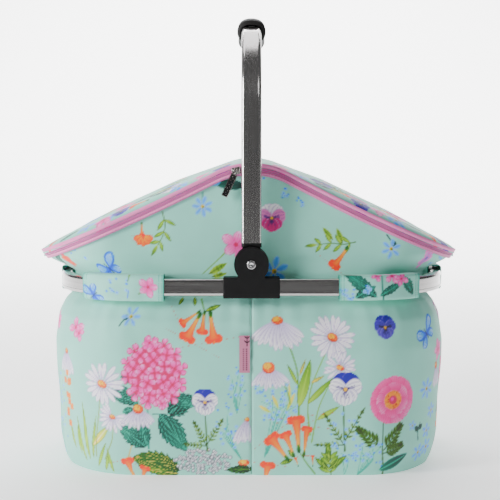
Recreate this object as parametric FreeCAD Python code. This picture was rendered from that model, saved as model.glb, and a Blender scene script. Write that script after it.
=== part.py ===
"""Insulated carry basket: a soft zipped cool bag hung in an aluminium ring, with a folding arch handle.

Frame: +Z up, X along the basket's length, Y across it, -Y is the front.
Origin: on the ground, at the middle of the base.  Units: millimetres.
"""
import FreeCAD, Part
import math
import os

from FreeCAD import Vector

os.makedirs("parts", exist_ok=True)

# ------------------------------------------------------------------ driving dimensions
# Ring (the rail that the bag hangs in)
ring_length = 460.0
ring_depth = 280.0
ring_corner = 105.0
ring_height = 215.0        # ground to the middle of the rail
rail_height = 20.0
rail_thickness = 13.0
rail_wall = 1.5
rail_edge = 3.6
rail_groove_height = 11.0
rail_groove_depth = 0.7
joiner_length = 70.0

# Folding handle
tube_width = 23.0
tube_thickness = 14.0
tube_wall = 1.5
tube_edge = 4.0
handle_bend = 95.0         # centre line radius of the two upper bends
fold_gap = 4.5             # folded grip to the end of the lid
grip_width = 33.0
grip_height = 28.0
grip_wrap = 20.0           # degrees of each bend that the grip covers
handle_fold = 90.0

# Hinge between ring and handle
bracket_length = 64.5
bracket_wall = 2.5
bracket_cap = 1.6          # wall above and below the rail
bracket_edge = 1.4
eye_gap = 3.25             # handle's eye to the sleeve under it
ear_rim = 8.3              # ear past the eye, all round
ear_thickness = 4.4
eye_thickness = 8.2
collar_gap = 2.6           # ear edge to the collar of the handle's foot
collar_height = 1.8        # least height of the collar under the tube
plug_length = 30.0
rivet_radius = 3.5
rivet_head_radius = 5.1
rivet_head_depth = 1.0
rivet_dome = 0.8
rivet_recess_radius = 5.8
washer_radius = 9.0
screw_radius = 1.4
screw_head_radius = 2.8
screw_head_height = 0.9
screw_spacing = 44.0
screw_reach = 7.5
pin_radius = 1.6
pin_head_radius = 2.6
pin_head_height = 0.8
pin_rise = 14.0            # end of the tube to the pin

# Clearances
fit_gap = 0.15             # rail in bracket, plug in tube
pivot_gap = 0.05           # rivet in the handle's eye
soft_gap = 0.2             # between layers of the bag
rail_soft_gap = 0.25       # rail in a fabric loop

# Bag
belly_over_ring = 6.5      # how far the belly stands out past the ring, at the ends
belly_over_ring_side = 2.3
belly_end_flat = 40.3       # half of the straight stretch across each end
base_tuck = 7.5            # how far the bottom edge is drawn in from the belly
neck_gap = 0.7             # bag to the inner faces of the brackets
collar_over_ring = 0.0     # collar to the ring's outer face, at the ends
collar_depth_inset = 25.5  # collar to the ring's outer face, front and rear
collar_end_flat = 26.5
flare_height = 14.0
fabric = 1.6
foam = 5.0
lining = 0.8
base_board = 3.0

# Lid and its zip
lid_overhang = 26.0        # lid past the ring, at each end
lid_depth_inset = 22.5     # lid to the ring's outer face, front and rear
lid_end_flat = 19.5
peak_rise = 141.0          # middle of the rail to the top edge of the zip band, at the middle
crown_radius = 92.0
crown_half_angle = 27.0
zip_end_rise = 34.0        # middle of the rail to the top edge of the zip band, at the ends
roof_end_rise = 36.5       # middle of the rail to the roof, at the ends
roof_proud = 1.0
lid_thickness = 6.0
lid_edge = -5.0            # lower edge of the lid, measured from the top edge of the zip band
tape_end = -14.0           # lower edge of the zip band
tape_thickness = 1.0
coil_thickness = 2.0
coil_half = 1.7
coil_line = -7.0
ridge_width = 23.0
hinge_gap = 0.25
lid_open = 100.0
shelf_top = -9.5
shelf_bottom = -13.5

# Zip sliders and pulls
slider_angle = 12.0        # from the top of the crown
slider_length = 10.0
slider_width = 8.5
slider_thickness = 1.6
slider_gap = 0.4
bail_radius = 0.7
bail_span = 4.4
bail_rise = 2.1
eye_bore = 0.95
eye_radius = 1.75
pull_width = 8.0
pull_length = 29.0
pull_thickness = 1.4
pull_tilt = 25.0

# Fabric loops round the ring
loop_start = 99.0          # from the middle of the basket
loop_bend_angle = 40.0     # where the loop ends on the ring's corner
end_loop_length = 64.0
loop_thickness = 1.6
loop_lift = 3.5            # loop above the rail
loop_drop = 4.0            # loop below the rail

# Woven tab in the front seam
label_width = 12.0
label_height = 43.0
label_thickness = 0.6
label_middle = 140.5
label_seam_gap = 2.0

# ------------------------------------------------------------------ worked-out places
half_length = ring_length / 2
half_depth = ring_depth / 2
rail_y = half_depth - rail_thickness / 2
peak_height = ring_height + peak_rise
rail_low = ring_height - rail_height / 2
rail_high = ring_height + rail_height / 2
foot_eye_radius = tube_width / 2
ear_radius = foot_eye_radius + ear_rim
collar_top = ear_radius + collar_gap + collar_height
lid_half_length = half_length + lid_overhang
lid_half_depth = half_depth - lid_depth_inset
lid_corner = lid_half_depth - lid_end_flat
bracket_half = rail_thickness / 2 + fit_gap + bracket_wall
bracket_low = rail_low - fit_gap - bracket_cap
bracket_high = rail_high + fit_gap + bracket_cap
pivot_z = bracket_high + eye_gap + foot_eye_radius
handle_reach = lid_half_length + fold_gap + grip_height / 2
handle_top_z = pivot_z + handle_reach
ear_inner = bracket_half - ear_thickness
crown_z = peak_height - crown_radius
end_margin = 15.0
far = 600.0


# ------------------------------------------------------------------ helpers
def save(shape, name):
    """Write one sub-part to its own STEP file."""
    shape.exportStep("parts/" + name + ".step")
    print(name, len(shape.Solids), "solid", round(shape.Volume / 1000, 2), "cm3", shape.isValid())


def box(x0, x1, y0, y1, z0, z1):
    """A box from its six limits."""
    return Part.makeBox(x1 - x0, y1 - y0, z1 - z0, Vector(x0, y0, z0))


def rod(radius, length, start, direction):
    """A cylinder from its start point along a direction."""
    return Part.makeCylinder(radius, length, Vector(*start), Vector(*direction))


def outline(half_x, half_y, corner, z):
    """A closed rounded rectangle, centred on the Z axis, at one height."""
    ix = half_x - corner
    iy = half_y - corner
    cut = corner * math.sqrt(0.5)
    edges = []
    for sx, sy in ((1, -1), (1, 1), (-1, 1), (-1, -1)):
        along_x = Vector(sx * half_x, sy * iy, z)
        along_y = Vector(sx * ix, sy * half_y, z)
        middle = Vector(sx * (ix + cut), sy * (iy + cut), z)
        first, last = (along_y, along_x) if sx * sy < 0 else (along_x, along_y)
        if edges:
            edges.append(Part.makeLine(edges[-1].Vertexes[-1].Point, first))
        edges.append(Part.Arc(first, middle, last).toShape())
    edges.append(Part.makeLine(edges[-1].Vertexes[-1].Point, edges[0].Vertexes[0].Point))
    return Part.Wire(edges)


def prism(half_x, half_y, corner, z0, z1):
    """An upright block with a rounded rectangular plan."""
    return Part.Face(outline(half_x, half_y, corner, z0)).extrude(Vector(0, 0, z1 - z0))


def ring_band(outside, inside, z0, z1):
    """A band that follows the ring's plan. Both offsets are outwards from the ring's outer face."""
    outer = prism(half_length + outside, half_depth + outside, ring_corner + outside, z0, z1)
    inner = prism(half_length + inside, half_depth + inside, ring_corner + inside, z0 - 1, z1 + 1)
    return outer.cut(inner)


def lid_band(outside, inside):
    """A tall band that follows the lid's plan. Both offsets are outwards from the lid's skirt."""
    z0 = ring_height - end_margin
    z1 = peak_height + end_margin
    outer = prism(lid_half_length + outside, lid_half_depth + outside, lid_corner + outside, z0, z1)
    inner = prism(lid_half_length + inside, lid_half_depth + inside, lid_corner + inside, z0 - 1, z1 + 1)
    return outer.cut(inner)


def left_of(x):
    """Everything to the left of a plane, as a large block."""
    return box(-far, x, -far, far, -far, far)


def mirrored(shape, along_x=False, along_y=False):
    """The shape reflected in the basket's middle planes."""
    if along_x:
        shape = shape.mirror(Vector(0, 0, 0), Vector(1, 0, 0))
    if along_y:
        shape = shape.mirror(Vector(0, 0, 0), Vector(0, 1, 0))
    return shape


def half_turn(shape):
    """A copy turned half round the Z axis."""
    turned = shape.copy()
    turned.rotate(Vector(0, 0, 0), Vector(0, 0, 1), 180)
    return turned


def section_wire(path_point, direction, side, width, thickness, edge):
    """A rounded rectangle across a path: its width lies along side, its thickness across it."""
    rectangle = outline(width / 2, thickness / 2, edge, 0)
    across = direction.cross(side)
    matrix = FreeCAD.Matrix(side.x, across.x, direction.x, path_point.x,
                            side.y, across.y, direction.y, path_point.y,
                            side.z, across.z, direction.z, path_point.z,
                            0, 0, 0, 1)
    return rectangle.transformGeometry(matrix)


def sweep(path, profile):
    """A solid made by carrying a closed profile along a path."""
    pipe = Part.BRepOffsetAPI.MakePipeShell(path)
    pipe.add(profile, False, False)
    pipe.build()
    pipe.makeSolid()
    return pipe.shape()


# ------------------------------------------------------------------ the zip line and the roof line
crown_sin = math.sin(math.radians(crown_half_angle))
crown_cos = math.cos(math.radians(crown_half_angle))
zip_end = Vector(lid_half_length, 0, ring_height + zip_end_rise - crown_z)
leave = Vector(crown_sin, 0, crown_cos)
reach = zip_end - leave * crown_radius
slope_radius = reach.Length ** 2 / (2 * (zip_end.dot(leave) - crown_radius))
slope_centre = leave * (crown_radius + slope_radius) + Vector(0, 0, crown_z)
slope_end_sin = crown_sin - (lid_half_length + end_margin - crown_radius * crown_sin) / slope_radius
slope_end_angle = math.degrees(math.asin(slope_end_sin))


def on_crown(degrees, rise):
    """A point on the crown, at an angle from its top and a height above the zip line."""
    a = math.radians(degrees)
    return Vector((crown_radius + rise) * math.sin(a), 0, crown_z + (crown_radius + rise) * math.cos(a))


def on_slope(degrees, rise):
    """A point on the hollow slope that runs from the crown to the end of the lid."""
    a = math.radians(degrees)
    return slope_centre - Vector(math.sin(a), 0, math.cos(a)) * (slope_radius - rise)


def flip(point):
    return Vector(-point.x, point.y, point.z)


def zip_edges(rise):
    """The zip line, from the left end to the right end, raised by an amount square to itself."""
    middle = (crown_half_angle + slope_end_angle) / 2
    slope = [on_slope(slope_end_angle, rise), on_slope(middle, rise), on_crown(crown_half_angle, rise)]
    left = Part.Arc(*[flip(p) for p in slope]).toShape()
    crown = Part.Arc(flip(slope[2]), on_crown(0, rise), slope[2]).toShape()
    right = Part.Arc(*reversed(slope)).toShape()
    return [left, crown, right]


roof_radius = crown_radius + roof_proud
roof_end = Vector(lid_half_length, 0, ring_height + roof_end_rise - crown_z)
roof_angle = math.atan2(roof_end.x, roof_end.z) - math.acos(roof_radius / roof_end.Length)


def roof_edges(rise):
    """The roof line: a rounded ridge with straight slopes."""
    radius = roof_radius + rise
    centre = Vector(0, 0, crown_z)
    touch = centre + Vector(math.sin(roof_angle), 0, math.cos(roof_angle)) * radius
    run = (lid_half_length + end_margin - touch.x) / math.cos(roof_angle)
    foot = touch + Vector(math.cos(roof_angle), 0, -math.sin(roof_angle)) * run
    ridge = Part.Arc(flip(touch), centre + Vector(0, 0, radius), touch).toShape()
    return [Part.makeLine(flip(foot), flip(touch)), ridge, Part.makeLine(touch, foot)]


def through_depth(edges):
    """Carry a closed outline in the XZ plane right through the basket, from front to rear."""
    face = Part.Face(Part.Wire(Part.__sortEdges__(edges)))
    solid = face.extrude(Vector(0, 2 * ring_depth, 0))
    solid.translate(Vector(0, -ring_depth, 0))
    return solid


def closed_below(edges, floor):
    """Everything under a line, down to a floor."""
    start = edges[0].Vertexes[0].Point
    end = edges[-1].Vertexes[-1].Point
    low_start = Vector(start.x, 0, floor)
    low_end = Vector(end.x, 0, floor)
    sides = [Part.makeLine(end, low_end), Part.makeLine(low_end, low_start), Part.makeLine(low_start, start)]
    return through_depth(edges + sides)


def zip_strip(low, high):
    """A strip between two heights measured from the zip line."""
    return under_zip(high).cut(under_zip(low))


def under_zip(rise):
    return closed_below(zip_edges(rise), -end_margin)


def under_roof(rise):
    return closed_below(roof_edges(rise), -end_margin)


# ------------------------------------------------------------------ ring
def make_rail():
    """The whole rail, hollow, with its shallow outer groove."""
    solid = ring_band(0, -rail_thickness, rail_low, rail_high)
    rims = []
    for edge in solid.Edges:
        if edge.BoundBox.ZLength < 0.01:
            rims.append(edge)
    solid = solid.makeFillet(rail_edge, rims)
    hollow = ring_band(-rail_wall, rail_wall - rail_thickness, rail_low + rail_wall, rail_high - rail_wall)
    groove_low = ring_height - rail_groove_height / 2
    groove_high = ring_height + rail_groove_height / 2
    groove = ring_band(1, -rail_groove_depth, groove_low, groove_high)
    return solid.cut(hollow).cut(groove)


def screw_places():
    """Where the screws go up through each bracket into the rail."""
    for x in (-screw_spacing / 2, screw_spacing / 2):
        for y in (-rail_y, rail_y):
            yield x, y


def make_screws():
    solids = []
    for x, y in screw_places():
        head = rod(screw_head_radius, screw_head_height, (x, y, bracket_low - screw_head_height), (0, 0, 1))
        shank = rod(screw_radius, screw_reach, (x, y, bracket_low), (0, 0, 1))
        solids.append(head.fuse(shank))
    return Part.makeCompound(solids)


def screw_holes():
    holes = []
    for x, y in screw_places():
        holes.append(rod(screw_radius, screw_reach, (x, y, bracket_low), (0, 0, 1)))
    return Part.makeCompound(holes)


def make_joiner(side):
    """The bar inside the rail that holds its two halves together, at one bracket."""
    half_y = rail_thickness / 2 - rail_wall - fit_gap
    middle = side * rail_y
    low = rail_low + rail_wall + fit_gap
    high = rail_high - rail_wall - fit_gap
    bar = box(-joiner_length / 2, joiner_length / 2, middle - half_y, middle + half_y, low, high)
    return bar.cut(screw_holes())


# ------------------------------------------------------------------ hinge
def make_bracket():
    """The front bracket: a sleeve on the rail with two round ears for the handle's foot."""
    y = -rail_y
    sleeve = box(-bracket_length / 2, bracket_length / 2, y - bracket_half, y + bracket_half,
                 bracket_low, bracket_high)
    sleeve = sleeve.makeFillet(bracket_edge, sleeve.Edges)
    web_half = ear_radius * 0.78
    shoulder = box(-web_half, web_half, y - bracket_half, y + bracket_half, ring_height, pivot_z - 2)
    ears = rod(ear_radius, 2 * bracket_half, (0, y - bracket_half, pivot_z), (0, 1, 0))
    body = sleeve.fuse(shoulder).fuse(ears)
    mouth = box(-ear_radius - 1, ear_radius + 1, y - ear_inner, y + ear_inner,
                bracket_high + 0.6, pivot_z + ear_radius + 1)
    passage = box(-bracket_length, bracket_length, y - rail_thickness / 2 - fit_gap,
                  y + rail_thickness / 2 + fit_gap, rail_low - fit_gap, rail_high + fit_gap)
    bore = rod(rivet_radius, 4 * bracket_half, (0, y - 2 * bracket_half, pivot_z), (0, 1, 0))
    body = body.cut(mouth).cut(passage).cut(bore).cut(screw_holes())
    for face_y, way in ((y - bracket_half, 1), (y + bracket_half, -1)):
        recess = rod(rivet_recess_radius, rivet_head_depth, (0, face_y, pivot_z), (0, way, 0))
        body = body.cut(recess)
    return body


def make_rivet():
    """The front pivot rivet, with a domed outer head and a flat inner head."""
    outer = -rail_y - bracket_half
    inner = -rail_y + bracket_half
    shank = rod(rivet_radius, 2 * bracket_half - 2 * rivet_head_depth,
                (0, outer + rivet_head_depth, pivot_z), (0, 1, 0))
    head = rod(rivet_head_radius, rivet_head_depth + rivet_dome, (0, outer - rivet_dome, pivot_z), (0, 1, 0))
    rim = [e for e in head.Edges if abs(e.BoundBox.YMin - (outer - rivet_dome)) < 0.01 and e.Closed]
    head = head.makeFillet(rivet_dome * 0.9, rim[:1])
    dish = Part.makeSphere(7 * rivet_dome, Vector(0, outer - 7.4 * rivet_dome, pivot_z))
    tail = rod(rivet_head_radius, rivet_head_depth, (0, inner - rivet_head_depth, pivot_z), (0, 1, 0))
    return head.cut(dish).fuse(shank).fuse(tail)


def make_washers():
    """Four thin washers, one each side of both eyes of the handle."""
    gap = ear_inner - eye_thickness / 2
    thickness = gap - 2 * pivot_gap
    solids = []
    for side in (-1, 1):
        for face in (-1, 1):
            middle = side * rail_y + face * (ear_inner - gap / 2)
            disc = rod(washer_radius, thickness, (0, middle - thickness / 2, pivot_z), (0, 1, 0))
            hole = rod(rivet_radius + pivot_gap, 3 * thickness, (0, middle - 1.5 * thickness, pivot_z), (0, 1, 0))
            solids.append(disc.cut(hole))
    return Part.makeCompound(solids)


# ------------------------------------------------------------------ handle
tube_start = pivot_z + collar_top


def handle_path(wrap=None):
    """The arch's centre line, or only its top with part of each bend."""
    bend_y = rail_y - handle_bend
    bend_z = handle_top_z - handle_bend

    def on_bend(side, degrees):
        a = math.radians(degrees)
        return Vector(0, side * (bend_y + handle_bend * math.sin(a)), bend_z + handle_bend * math.cos(a))

    angle = 90.0 if wrap is None else wrap
    edges = []
    if wrap is None:
        edges.append(Part.makeLine(Vector(0, -rail_y, tube_start), on_bend(-1, 90)))
    edges.append(Part.Arc(on_bend(-1, angle), on_bend(-1, angle / 2), on_bend(-1, 0)).toShape())
    edges.append(Part.makeLine(on_bend(-1, 0), on_bend(1, 0)))
    edges.append(Part.Arc(on_bend(1, 0), on_bend(1, angle / 2), on_bend(1, angle)).toShape())
    if wrap is None:
        edges.append(Part.makeLine(on_bend(1, 90), Vector(0, rail_y, tube_start)))
    return Part.Wire(edges)


def arch(width, thickness, edge, wrap=None):
    """A solid of rounded rectangular section along the arch."""
    path = handle_path(wrap)
    start = path.Edges[0].Vertexes[0].Point
    direction = Vector(0, 0, 1)
    if wrap is not None:
        a = math.radians(wrap)
        direction = Vector(0, math.cos(a), math.sin(a))
    profile = section_wire(start, direction, Vector(1, 0, 0), width, thickness, edge)
    return sweep(path, profile)


def foot_pin_places():
    for side in (-1, 1):
        yield side, side * (rail_y - tube_thickness / 2), tube_start + pin_rise


def make_tube():
    tube = arch(tube_width, tube_thickness, tube_edge)
    hollow = arch(tube_width - 2 * tube_wall, tube_thickness - 2 * tube_wall, tube_edge - tube_wall)
    tube = tube.cut(hollow)
    for side, y, z in foot_pin_places():
        tube = tube.cut(rod(pin_radius, tube_thickness / 2, (0, y, z), (0, side, 0)))
    return tube


def make_grip():
    """The soft sleeve round the top of the arch."""
    sleeve = arch(grip_width, grip_height, grip_height * 0.46, grip_wrap)
    bore = arch(tube_width + 2 * fit_gap, tube_thickness + 2 * fit_gap, tube_edge + fit_gap)
    return sleeve.cut(bore)


def make_foot():
    """The front foot: an eye between the bracket's ears, a collar, and a plug up inside the tube."""
    y = -rail_y
    eye_half = eye_thickness / 2
    eye = rod(foot_eye_radius, eye_thickness, (0, y - eye_half, pivot_z), (0, 1, 0))
    neck = box(-tube_width / 2 + 1.2, tube_width / 2 - 1.2, y - eye_half, y + eye_half, pivot_z, tube_start)
    collar = box(-tube_width / 2, tube_width / 2, y - tube_thickness / 2, y + tube_thickness / 2,
                 pivot_z + foot_eye_radius, tube_start)
    upright = [e for e in collar.Edges if e.BoundBox.ZLength > 1]
    collar = collar.makeFillet(tube_edge, upright)
    collar = collar.cut(rod(ear_radius + collar_gap, far, (0, -far / 2, pivot_z), (0, 1, 0)))
    plug_x = tube_width / 2 - tube_wall - fit_gap
    plug_y = tube_thickness / 2 - tube_wall - fit_gap
    plug = prism(plug_x, plug_y, tube_edge - tube_wall, tube_start, tube_start + plug_length)
    plug.translate(Vector(0, y, 0))
    foot = eye.fuse(neck).fuse(collar).fuse(plug)
    foot = foot.cut(rod(rivet_radius + pivot_gap, far, (0, -far / 2, pivot_z), (0, 1, 0)))
    pin_y = y + tube_thickness / 2
    return foot.cut(rod(pin_radius, tube_thickness / 2, (0, pin_y, tube_start + pin_rise), (0, -1, 0)))


def make_pins():
    """The two rivets that hold the feet in the tube, on the inner faces."""
    solids = []
    for side, y, z in foot_pin_places():
        shank = rod(pin_radius, tube_thickness / 2, (0, y, z), (0, side, 0))
        head = rod(pin_head_radius, pin_head_height, (0, y, z), (0, -side, 0))
        solids.append(shank.fuse(head))
    return Part.makeCompound(solids)


# ------------------------------------------------------------------ bag
neck_half_length = half_length - rail_thickness - fit_gap - bracket_wall - neck_gap
neck_half_depth = half_depth - rail_thickness - fit_gap - bracket_wall - neck_gap
neck_corner = ring_corner - rail_thickness - fit_gap - bracket_wall - neck_gap
belly_half_length = half_length + belly_over_ring
belly_half_depth = half_depth + belly_over_ring_side
belly_corner = belly_half_depth - belly_end_flat
collar_half_depth = half_depth - collar_depth_inset
collar_corner = collar_half_depth - collar_end_flat
neck_reach = rail_height / 2 + loop_drop
neck_low = ring_height - neck_reach
neck_high = ring_height + neck_reach


def bag_sections():
    """Height, half length, half depth and corner radius of the bag, from the base to the collar."""
    belly = (belly_half_length, belly_half_depth, belly_corner)
    neck = (neck_half_length, neck_half_depth, neck_corner)
    collar = (half_length + collar_over_ring, collar_half_depth, collar_corner)

    def between(a, b, share):
        return tuple(p + (q - p) * share for p, q in zip(a, b))

    tucked = tuple(size - base_tuck for size in belly)
    return [
        (0, *tucked),
        (neck_low * 0.05, *between(tucked, belly, 0.7)),
        (neck_low * 0.28, *belly),
        (neck_low * 0.72, *belly),
        (neck_low * 0.88, *between(neck, belly, 0.82)),
        (neck_low * 0.96, *between(neck, belly, 0.45)),
        (neck_low, *neck),
        (neck_high, *neck),
        (neck_high + flare_height, *collar),
        (peak_height + end_margin, *collar),
    ]


def bag_block(inset):
    """The bag's outer form drawn in by an inset."""
    wires = []
    for z, half_x, half_y, corner in bag_sections():
        wires.append(outline(half_x - inset, half_y - inset, corner - inset, z))
    return Part.makeLoft(wires, True, True)


def bag_layer(outside, inside, floor, top):
    """One layer of the bag's wall, open at the bottom, with its upper edge on the zip line."""
    shell = bag_block(outside).cut(bag_block(inside))
    return shell.common(under_zip(top)).common(box(-far, far, -far, far, floor, far))


wall_top = lid_edge - 2.2
foam_inset = fabric + soft_gap
lining_inset = foam_inset + foam + soft_gap
inner_inset = lining_inset + lining
board_low = fabric + soft_gap
foam_low = board_low + base_board + soft_gap
lining_low = foam_low + foam + soft_gap


def floor_panel(inset, z0, z1):
    """A flat panel in the bottom of the bag."""
    slab = box(-far, far, -far, far, z0, z1)
    return bag_block(inset).common(slab)


def make_foam_walls():
    """Front, rear and two end pieces of the insulating foam."""
    wall = bag_layer(foam_inset, foam_inset + foam, foam_low + foam + soft_gap, wall_top)
    split = half_length - ring_corner
    ends = wall.common(left_of(-split))
    middle = wall.cut(left_of(-split)).cut(mirrored(left_of(-split), along_x=True))
    front = middle.common(box(-far, far, -far, 0, -far, far))
    return front, mirrored(front, along_y=True), ends, mirrored(ends, along_x=True)


def make_lining():
    """The wipe-clean inner tub."""
    wall = bag_layer(lining_inset, inner_inset, lining_low, wall_top)
    floor = floor_panel(lining_inset, lining_low, lining_low + lining)
    return wall.fuse(floor).removeSplitter()


def make_shelf():
    """The stiff binding that carries the zip out to the lid's edge."""
    top = peak_height + end_margin
    low = neck_high
    outer = prism(lid_half_length, lid_half_depth, lid_corner, low, top)
    collar_x = half_length + collar_over_ring + soft_gap
    collar_y = collar_half_depth + soft_gap
    inner = prism(collar_x, collar_y, collar_corner + soft_gap, low - 1, top + 1)
    return outer.cut(inner).common(zip_strip(shelf_bottom, shelf_top))


# ------------------------------------------------------------------ lid
ridge_half = ridge_width / 2


def lid_parts(solid):
    """Split something that spans the lid into its left flap, its right flap and the fixed ridge."""
    left = solid.common(left_of(-ridge_half - hinge_gap))
    right = solid.common(mirrored(left_of(-ridge_half - hinge_gap), along_x=True))
    middle = solid.common(box(-ridge_half, ridge_half, -far, far, -far, far))
    return left, right, middle


def lid_prism(inset):
    low = ring_height
    high = peak_height + end_margin
    return prism(lid_half_length - inset, lid_half_depth - inset, lid_corner - inset, low, high)


def make_lid_shell():
    """The padded roof with its short skirt, down to the zip."""
    outer = lid_prism(0).common(under_roof(0))
    inner = lid_prism(lid_thickness).common(under_roof(-lid_thickness))
    return outer.cut(inner).cut(under_zip(lid_edge))


def make_lid_lining():
    """The lining inside the roof."""
    outside = lid_thickness + soft_gap
    sheet = lid_prism(outside).common(under_roof(-outside)).cut(under_roof(-outside - lining))
    return sheet.cut(under_zip(lid_edge - 1))


def tape_ring():
    return lid_band(soft_gap + tape_thickness, soft_gap)


def coil_ring():
    return lid_band(soft_gap + coil_thickness, soft_gap)


# ------------------------------------------------------------------ zip sliders
slider_y = -(lid_half_depth + soft_gap + coil_thickness + slider_gap)
bail_y = slider_y - slider_thickness - bail_rise
bail_z = crown_z + crown_radius + coil_line


def to_slider(shape, tilt):
    """Turn a shape made under the crown's top by its own tilt, then along the crown to the left."""
    shape.rotate(Vector(0, 0, bail_z), Vector(0, 1, 0), tilt)
    shape.rotate(Vector(0, 0, crown_z), Vector(0, 1, 0), -slider_angle)
    return shape


def make_slider():
    """The slider's plate with the two posts and the bar that the pull hangs on."""
    half_x = slider_length / 2
    plate = prism(half_x, slider_width / 2, slider_width * 0.35, 0, slider_thickness)
    plate.rotate(Vector(0, 0, 0), Vector(1, 0, 0), 90)
    plate.translate(Vector(0, slider_y, bail_z))
    plate = to_slider(plate, 0)
    bar = rod(bail_radius, bail_span, (-bail_span / 2, bail_y, bail_z), (1, 0, 0))
    for x in (-bail_span / 2 - bail_radius, bail_span / 2 - bail_radius):
        post = box(x, x + 2 * bail_radius, bail_y - bail_radius, slider_y, bail_z - bail_radius,
                   bail_z + bail_radius)
        bar = bar.fuse(post)
    return plate.fuse(to_slider(bar, pull_tilt + slider_angle))


def make_pull():
    """The rectangular pull, hanging from its eye."""
    eye_length = bail_span - 2 * bail_radius - 0.4
    eye = rod(eye_radius, eye_length, (-eye_length / 2, bail_y, bail_z), (1, 0, 0))
    neck = box(-eye_length / 2, eye_length / 2, bail_y - pull_thickness / 2, bail_y + pull_thickness / 2,
               bail_z - eye_radius - 1.5, bail_z)
    plate_top = bail_z - eye_radius - 1.0
    plate = box(-pull_width / 2, pull_width / 2, bail_y - pull_thickness / 2, bail_y + pull_thickness / 2,
                plate_top - pull_length, plate_top)
    across = [e for e in plate.Edges if e.BoundBox.YLength > 0.9 * pull_thickness]
    plate = plate.makeFillet(pull_width * 0.15, across)
    bore = rod(eye_bore, 2 * bail_span, (-bail_span, bail_y, bail_z), (1, 0, 0))
    return to_slider(eye.fuse(neck).fuse(plate).cut(bore), pull_tilt + slider_angle)


# ------------------------------------------------------------------ fabric loops and label
def loop_shell():
    """A fabric sleeve all the way round the ring. Pieces of it are the loops."""
    outside = rail_soft_gap
    inside = -rail_thickness - rail_soft_gap
    low = rail_low - loop_drop
    high = rail_high + loop_lift
    skin = ring_band(outside + loop_thickness, inside - loop_thickness, low, high)
    return skin.cut(ring_band(outside, inside, low + loop_thickness, high - loop_thickness))


def make_corner_loop(shell):
    """The loop from the left of the front rail into the ring's corner."""
    centre_x = -(half_length - ring_corner)
    centre_y = -(half_depth - ring_corner)
    a = math.radians(loop_bend_angle)
    outwards = Vector(-math.sin(a), -math.cos(a), 0)
    corner = Vector(centre_x, centre_y, 0)
    inner_reach = ring_corner * 0.57
    outer_reach = ring_corner * 1.6
    low = rail_low - 2 * loop_drop
    points = [
        Vector(-loop_start, centre_y - inner_reach, low),
        Vector(-loop_start, centre_y - outer_reach, low),
        corner + outwards * outer_reach + Vector(0, 0, low),
        corner + outwards * inner_reach + Vector(0, 0, low),
    ]
    cutter = Part.Face(Part.makePolygon(points + points[:1]))
    return shell.common(cutter.extrude(Vector(0, 0, 3 * rail_height)))


def make_end_loop(shell):
    """The loop on the left end of the ring."""
    half = end_loop_length / 2
    return shell.common(box(-far, -half_length + ring_corner * 0.5, -half, half, -far, far))


def make_label():
    """The small woven tab that is caught in the front seam."""
    front = -belly_half_depth - soft_gap
    return box(-label_seam_gap - label_width, -label_seam_gap, front - label_thickness, front,
               label_middle - label_height / 2, label_middle + label_height / 2)


# ------------------------------------------------------------------ build every node
rail = make_rail().cut(screw_holes())
rail_left = rail.common(left_of(0))
save(rail_left, "rail_left")
save(rail.cut(left_of(0)), "rail_right")
save(make_joiner(-1), "rail_joiner_front")
save(make_joiner(1), "rail_joiner_rear")
save(make_screws(), "bracket_screws")

bracket = make_bracket()
rivet = make_rivet()
save(bracket, "hinge_bracket_front")
save(half_turn(bracket), "hinge_bracket_rear")
save(rivet, "pivot_rivet_front")
save(half_turn(rivet), "pivot_rivet_rear")
save(make_washers(), "pivot_washers")

foot = make_foot()
save(make_tube(), "handle_tube")
save(make_grip(), "handle_grip")
save(foot, "handle_foot_front")
save(half_turn(foot), "handle_foot_rear")
save(make_pins(), "handle_foot_pins")

side = bag_layer(0, fabric, fabric + soft_gap, wall_top)
save(side.common(left_of(0)), "bag_side_left")
save(side.cut(left_of(0)), "bag_side_right")
save(floor_panel(0, 0, fabric), "bag_bottom")
save(floor_panel(foam_inset, board_low, board_low + base_board), "base_board")
save(floor_panel(foam_inset, foam_low, foam_low + foam), "foam_base")
foam_names = ("foam_front", "foam_rear", "foam_end_left", "foam_end_right")
for name, solid in zip(foam_names, make_foam_walls()):
    save(solid, name)
save(make_lining(), "foil_lining")
save(make_shelf(), "rim_binding")

for stem, solid in (("lid_panel", make_lid_shell()), ("lid_lining", make_lid_lining())):
    left, right, middle = lid_parts(solid)
    save(left, stem + "_left")
    save(right, stem + "_right")
    save(middle, stem + "_ridge")

tape_left, tape_right, tape_middle = lid_parts(tape_ring().common(zip_strip(lid_edge, 0)))
coil_left, coil_right, coil_middle = lid_parts(
    coil_ring().common(zip_strip(coil_line + soft_gap / 2, coil_line + coil_half)))
save(tape_left, "zip_tape_left")
save(tape_right, "zip_tape_right")
save(tape_middle, "zip_tape_ridge")
save(coil_left, "zip_coil_left")
save(coil_right, "zip_coil_right")
save(coil_middle, "zip_coil_ridge")
save(tape_ring().common(zip_strip(tape_end, coil_line - coil_half - soft_gap)), "zip_tape_body")
save(coil_ring().common(zip_strip(coil_line - coil_half, coil_line - soft_gap / 2)), "zip_coil_body")

slider = make_slider()
pull = make_pull()
save(slider, "zip_slider_front")
save(half_turn(slider), "zip_slider_rear")
save(pull, "zip_pull_front")
save(half_turn(pull), "zip_pull_rear")

shell = loop_shell()
corner_loop = make_corner_loop(shell)
end_loop = make_end_loop(shell)
save(corner_loop, "loop_front_left")
save(mirrored(corner_loop, along_x=True), "loop_front_right")
save(mirrored(corner_loop, along_y=True), "loop_rear_left")
save(mirrored(corner_loop, along_x=True, along_y=True), "loop_rear_right")
save(end_loop, "loop_end_left")
save(mirrored(end_loop, along_x=True), "loop_end_right")
save(make_label(), "seam_label")

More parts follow.
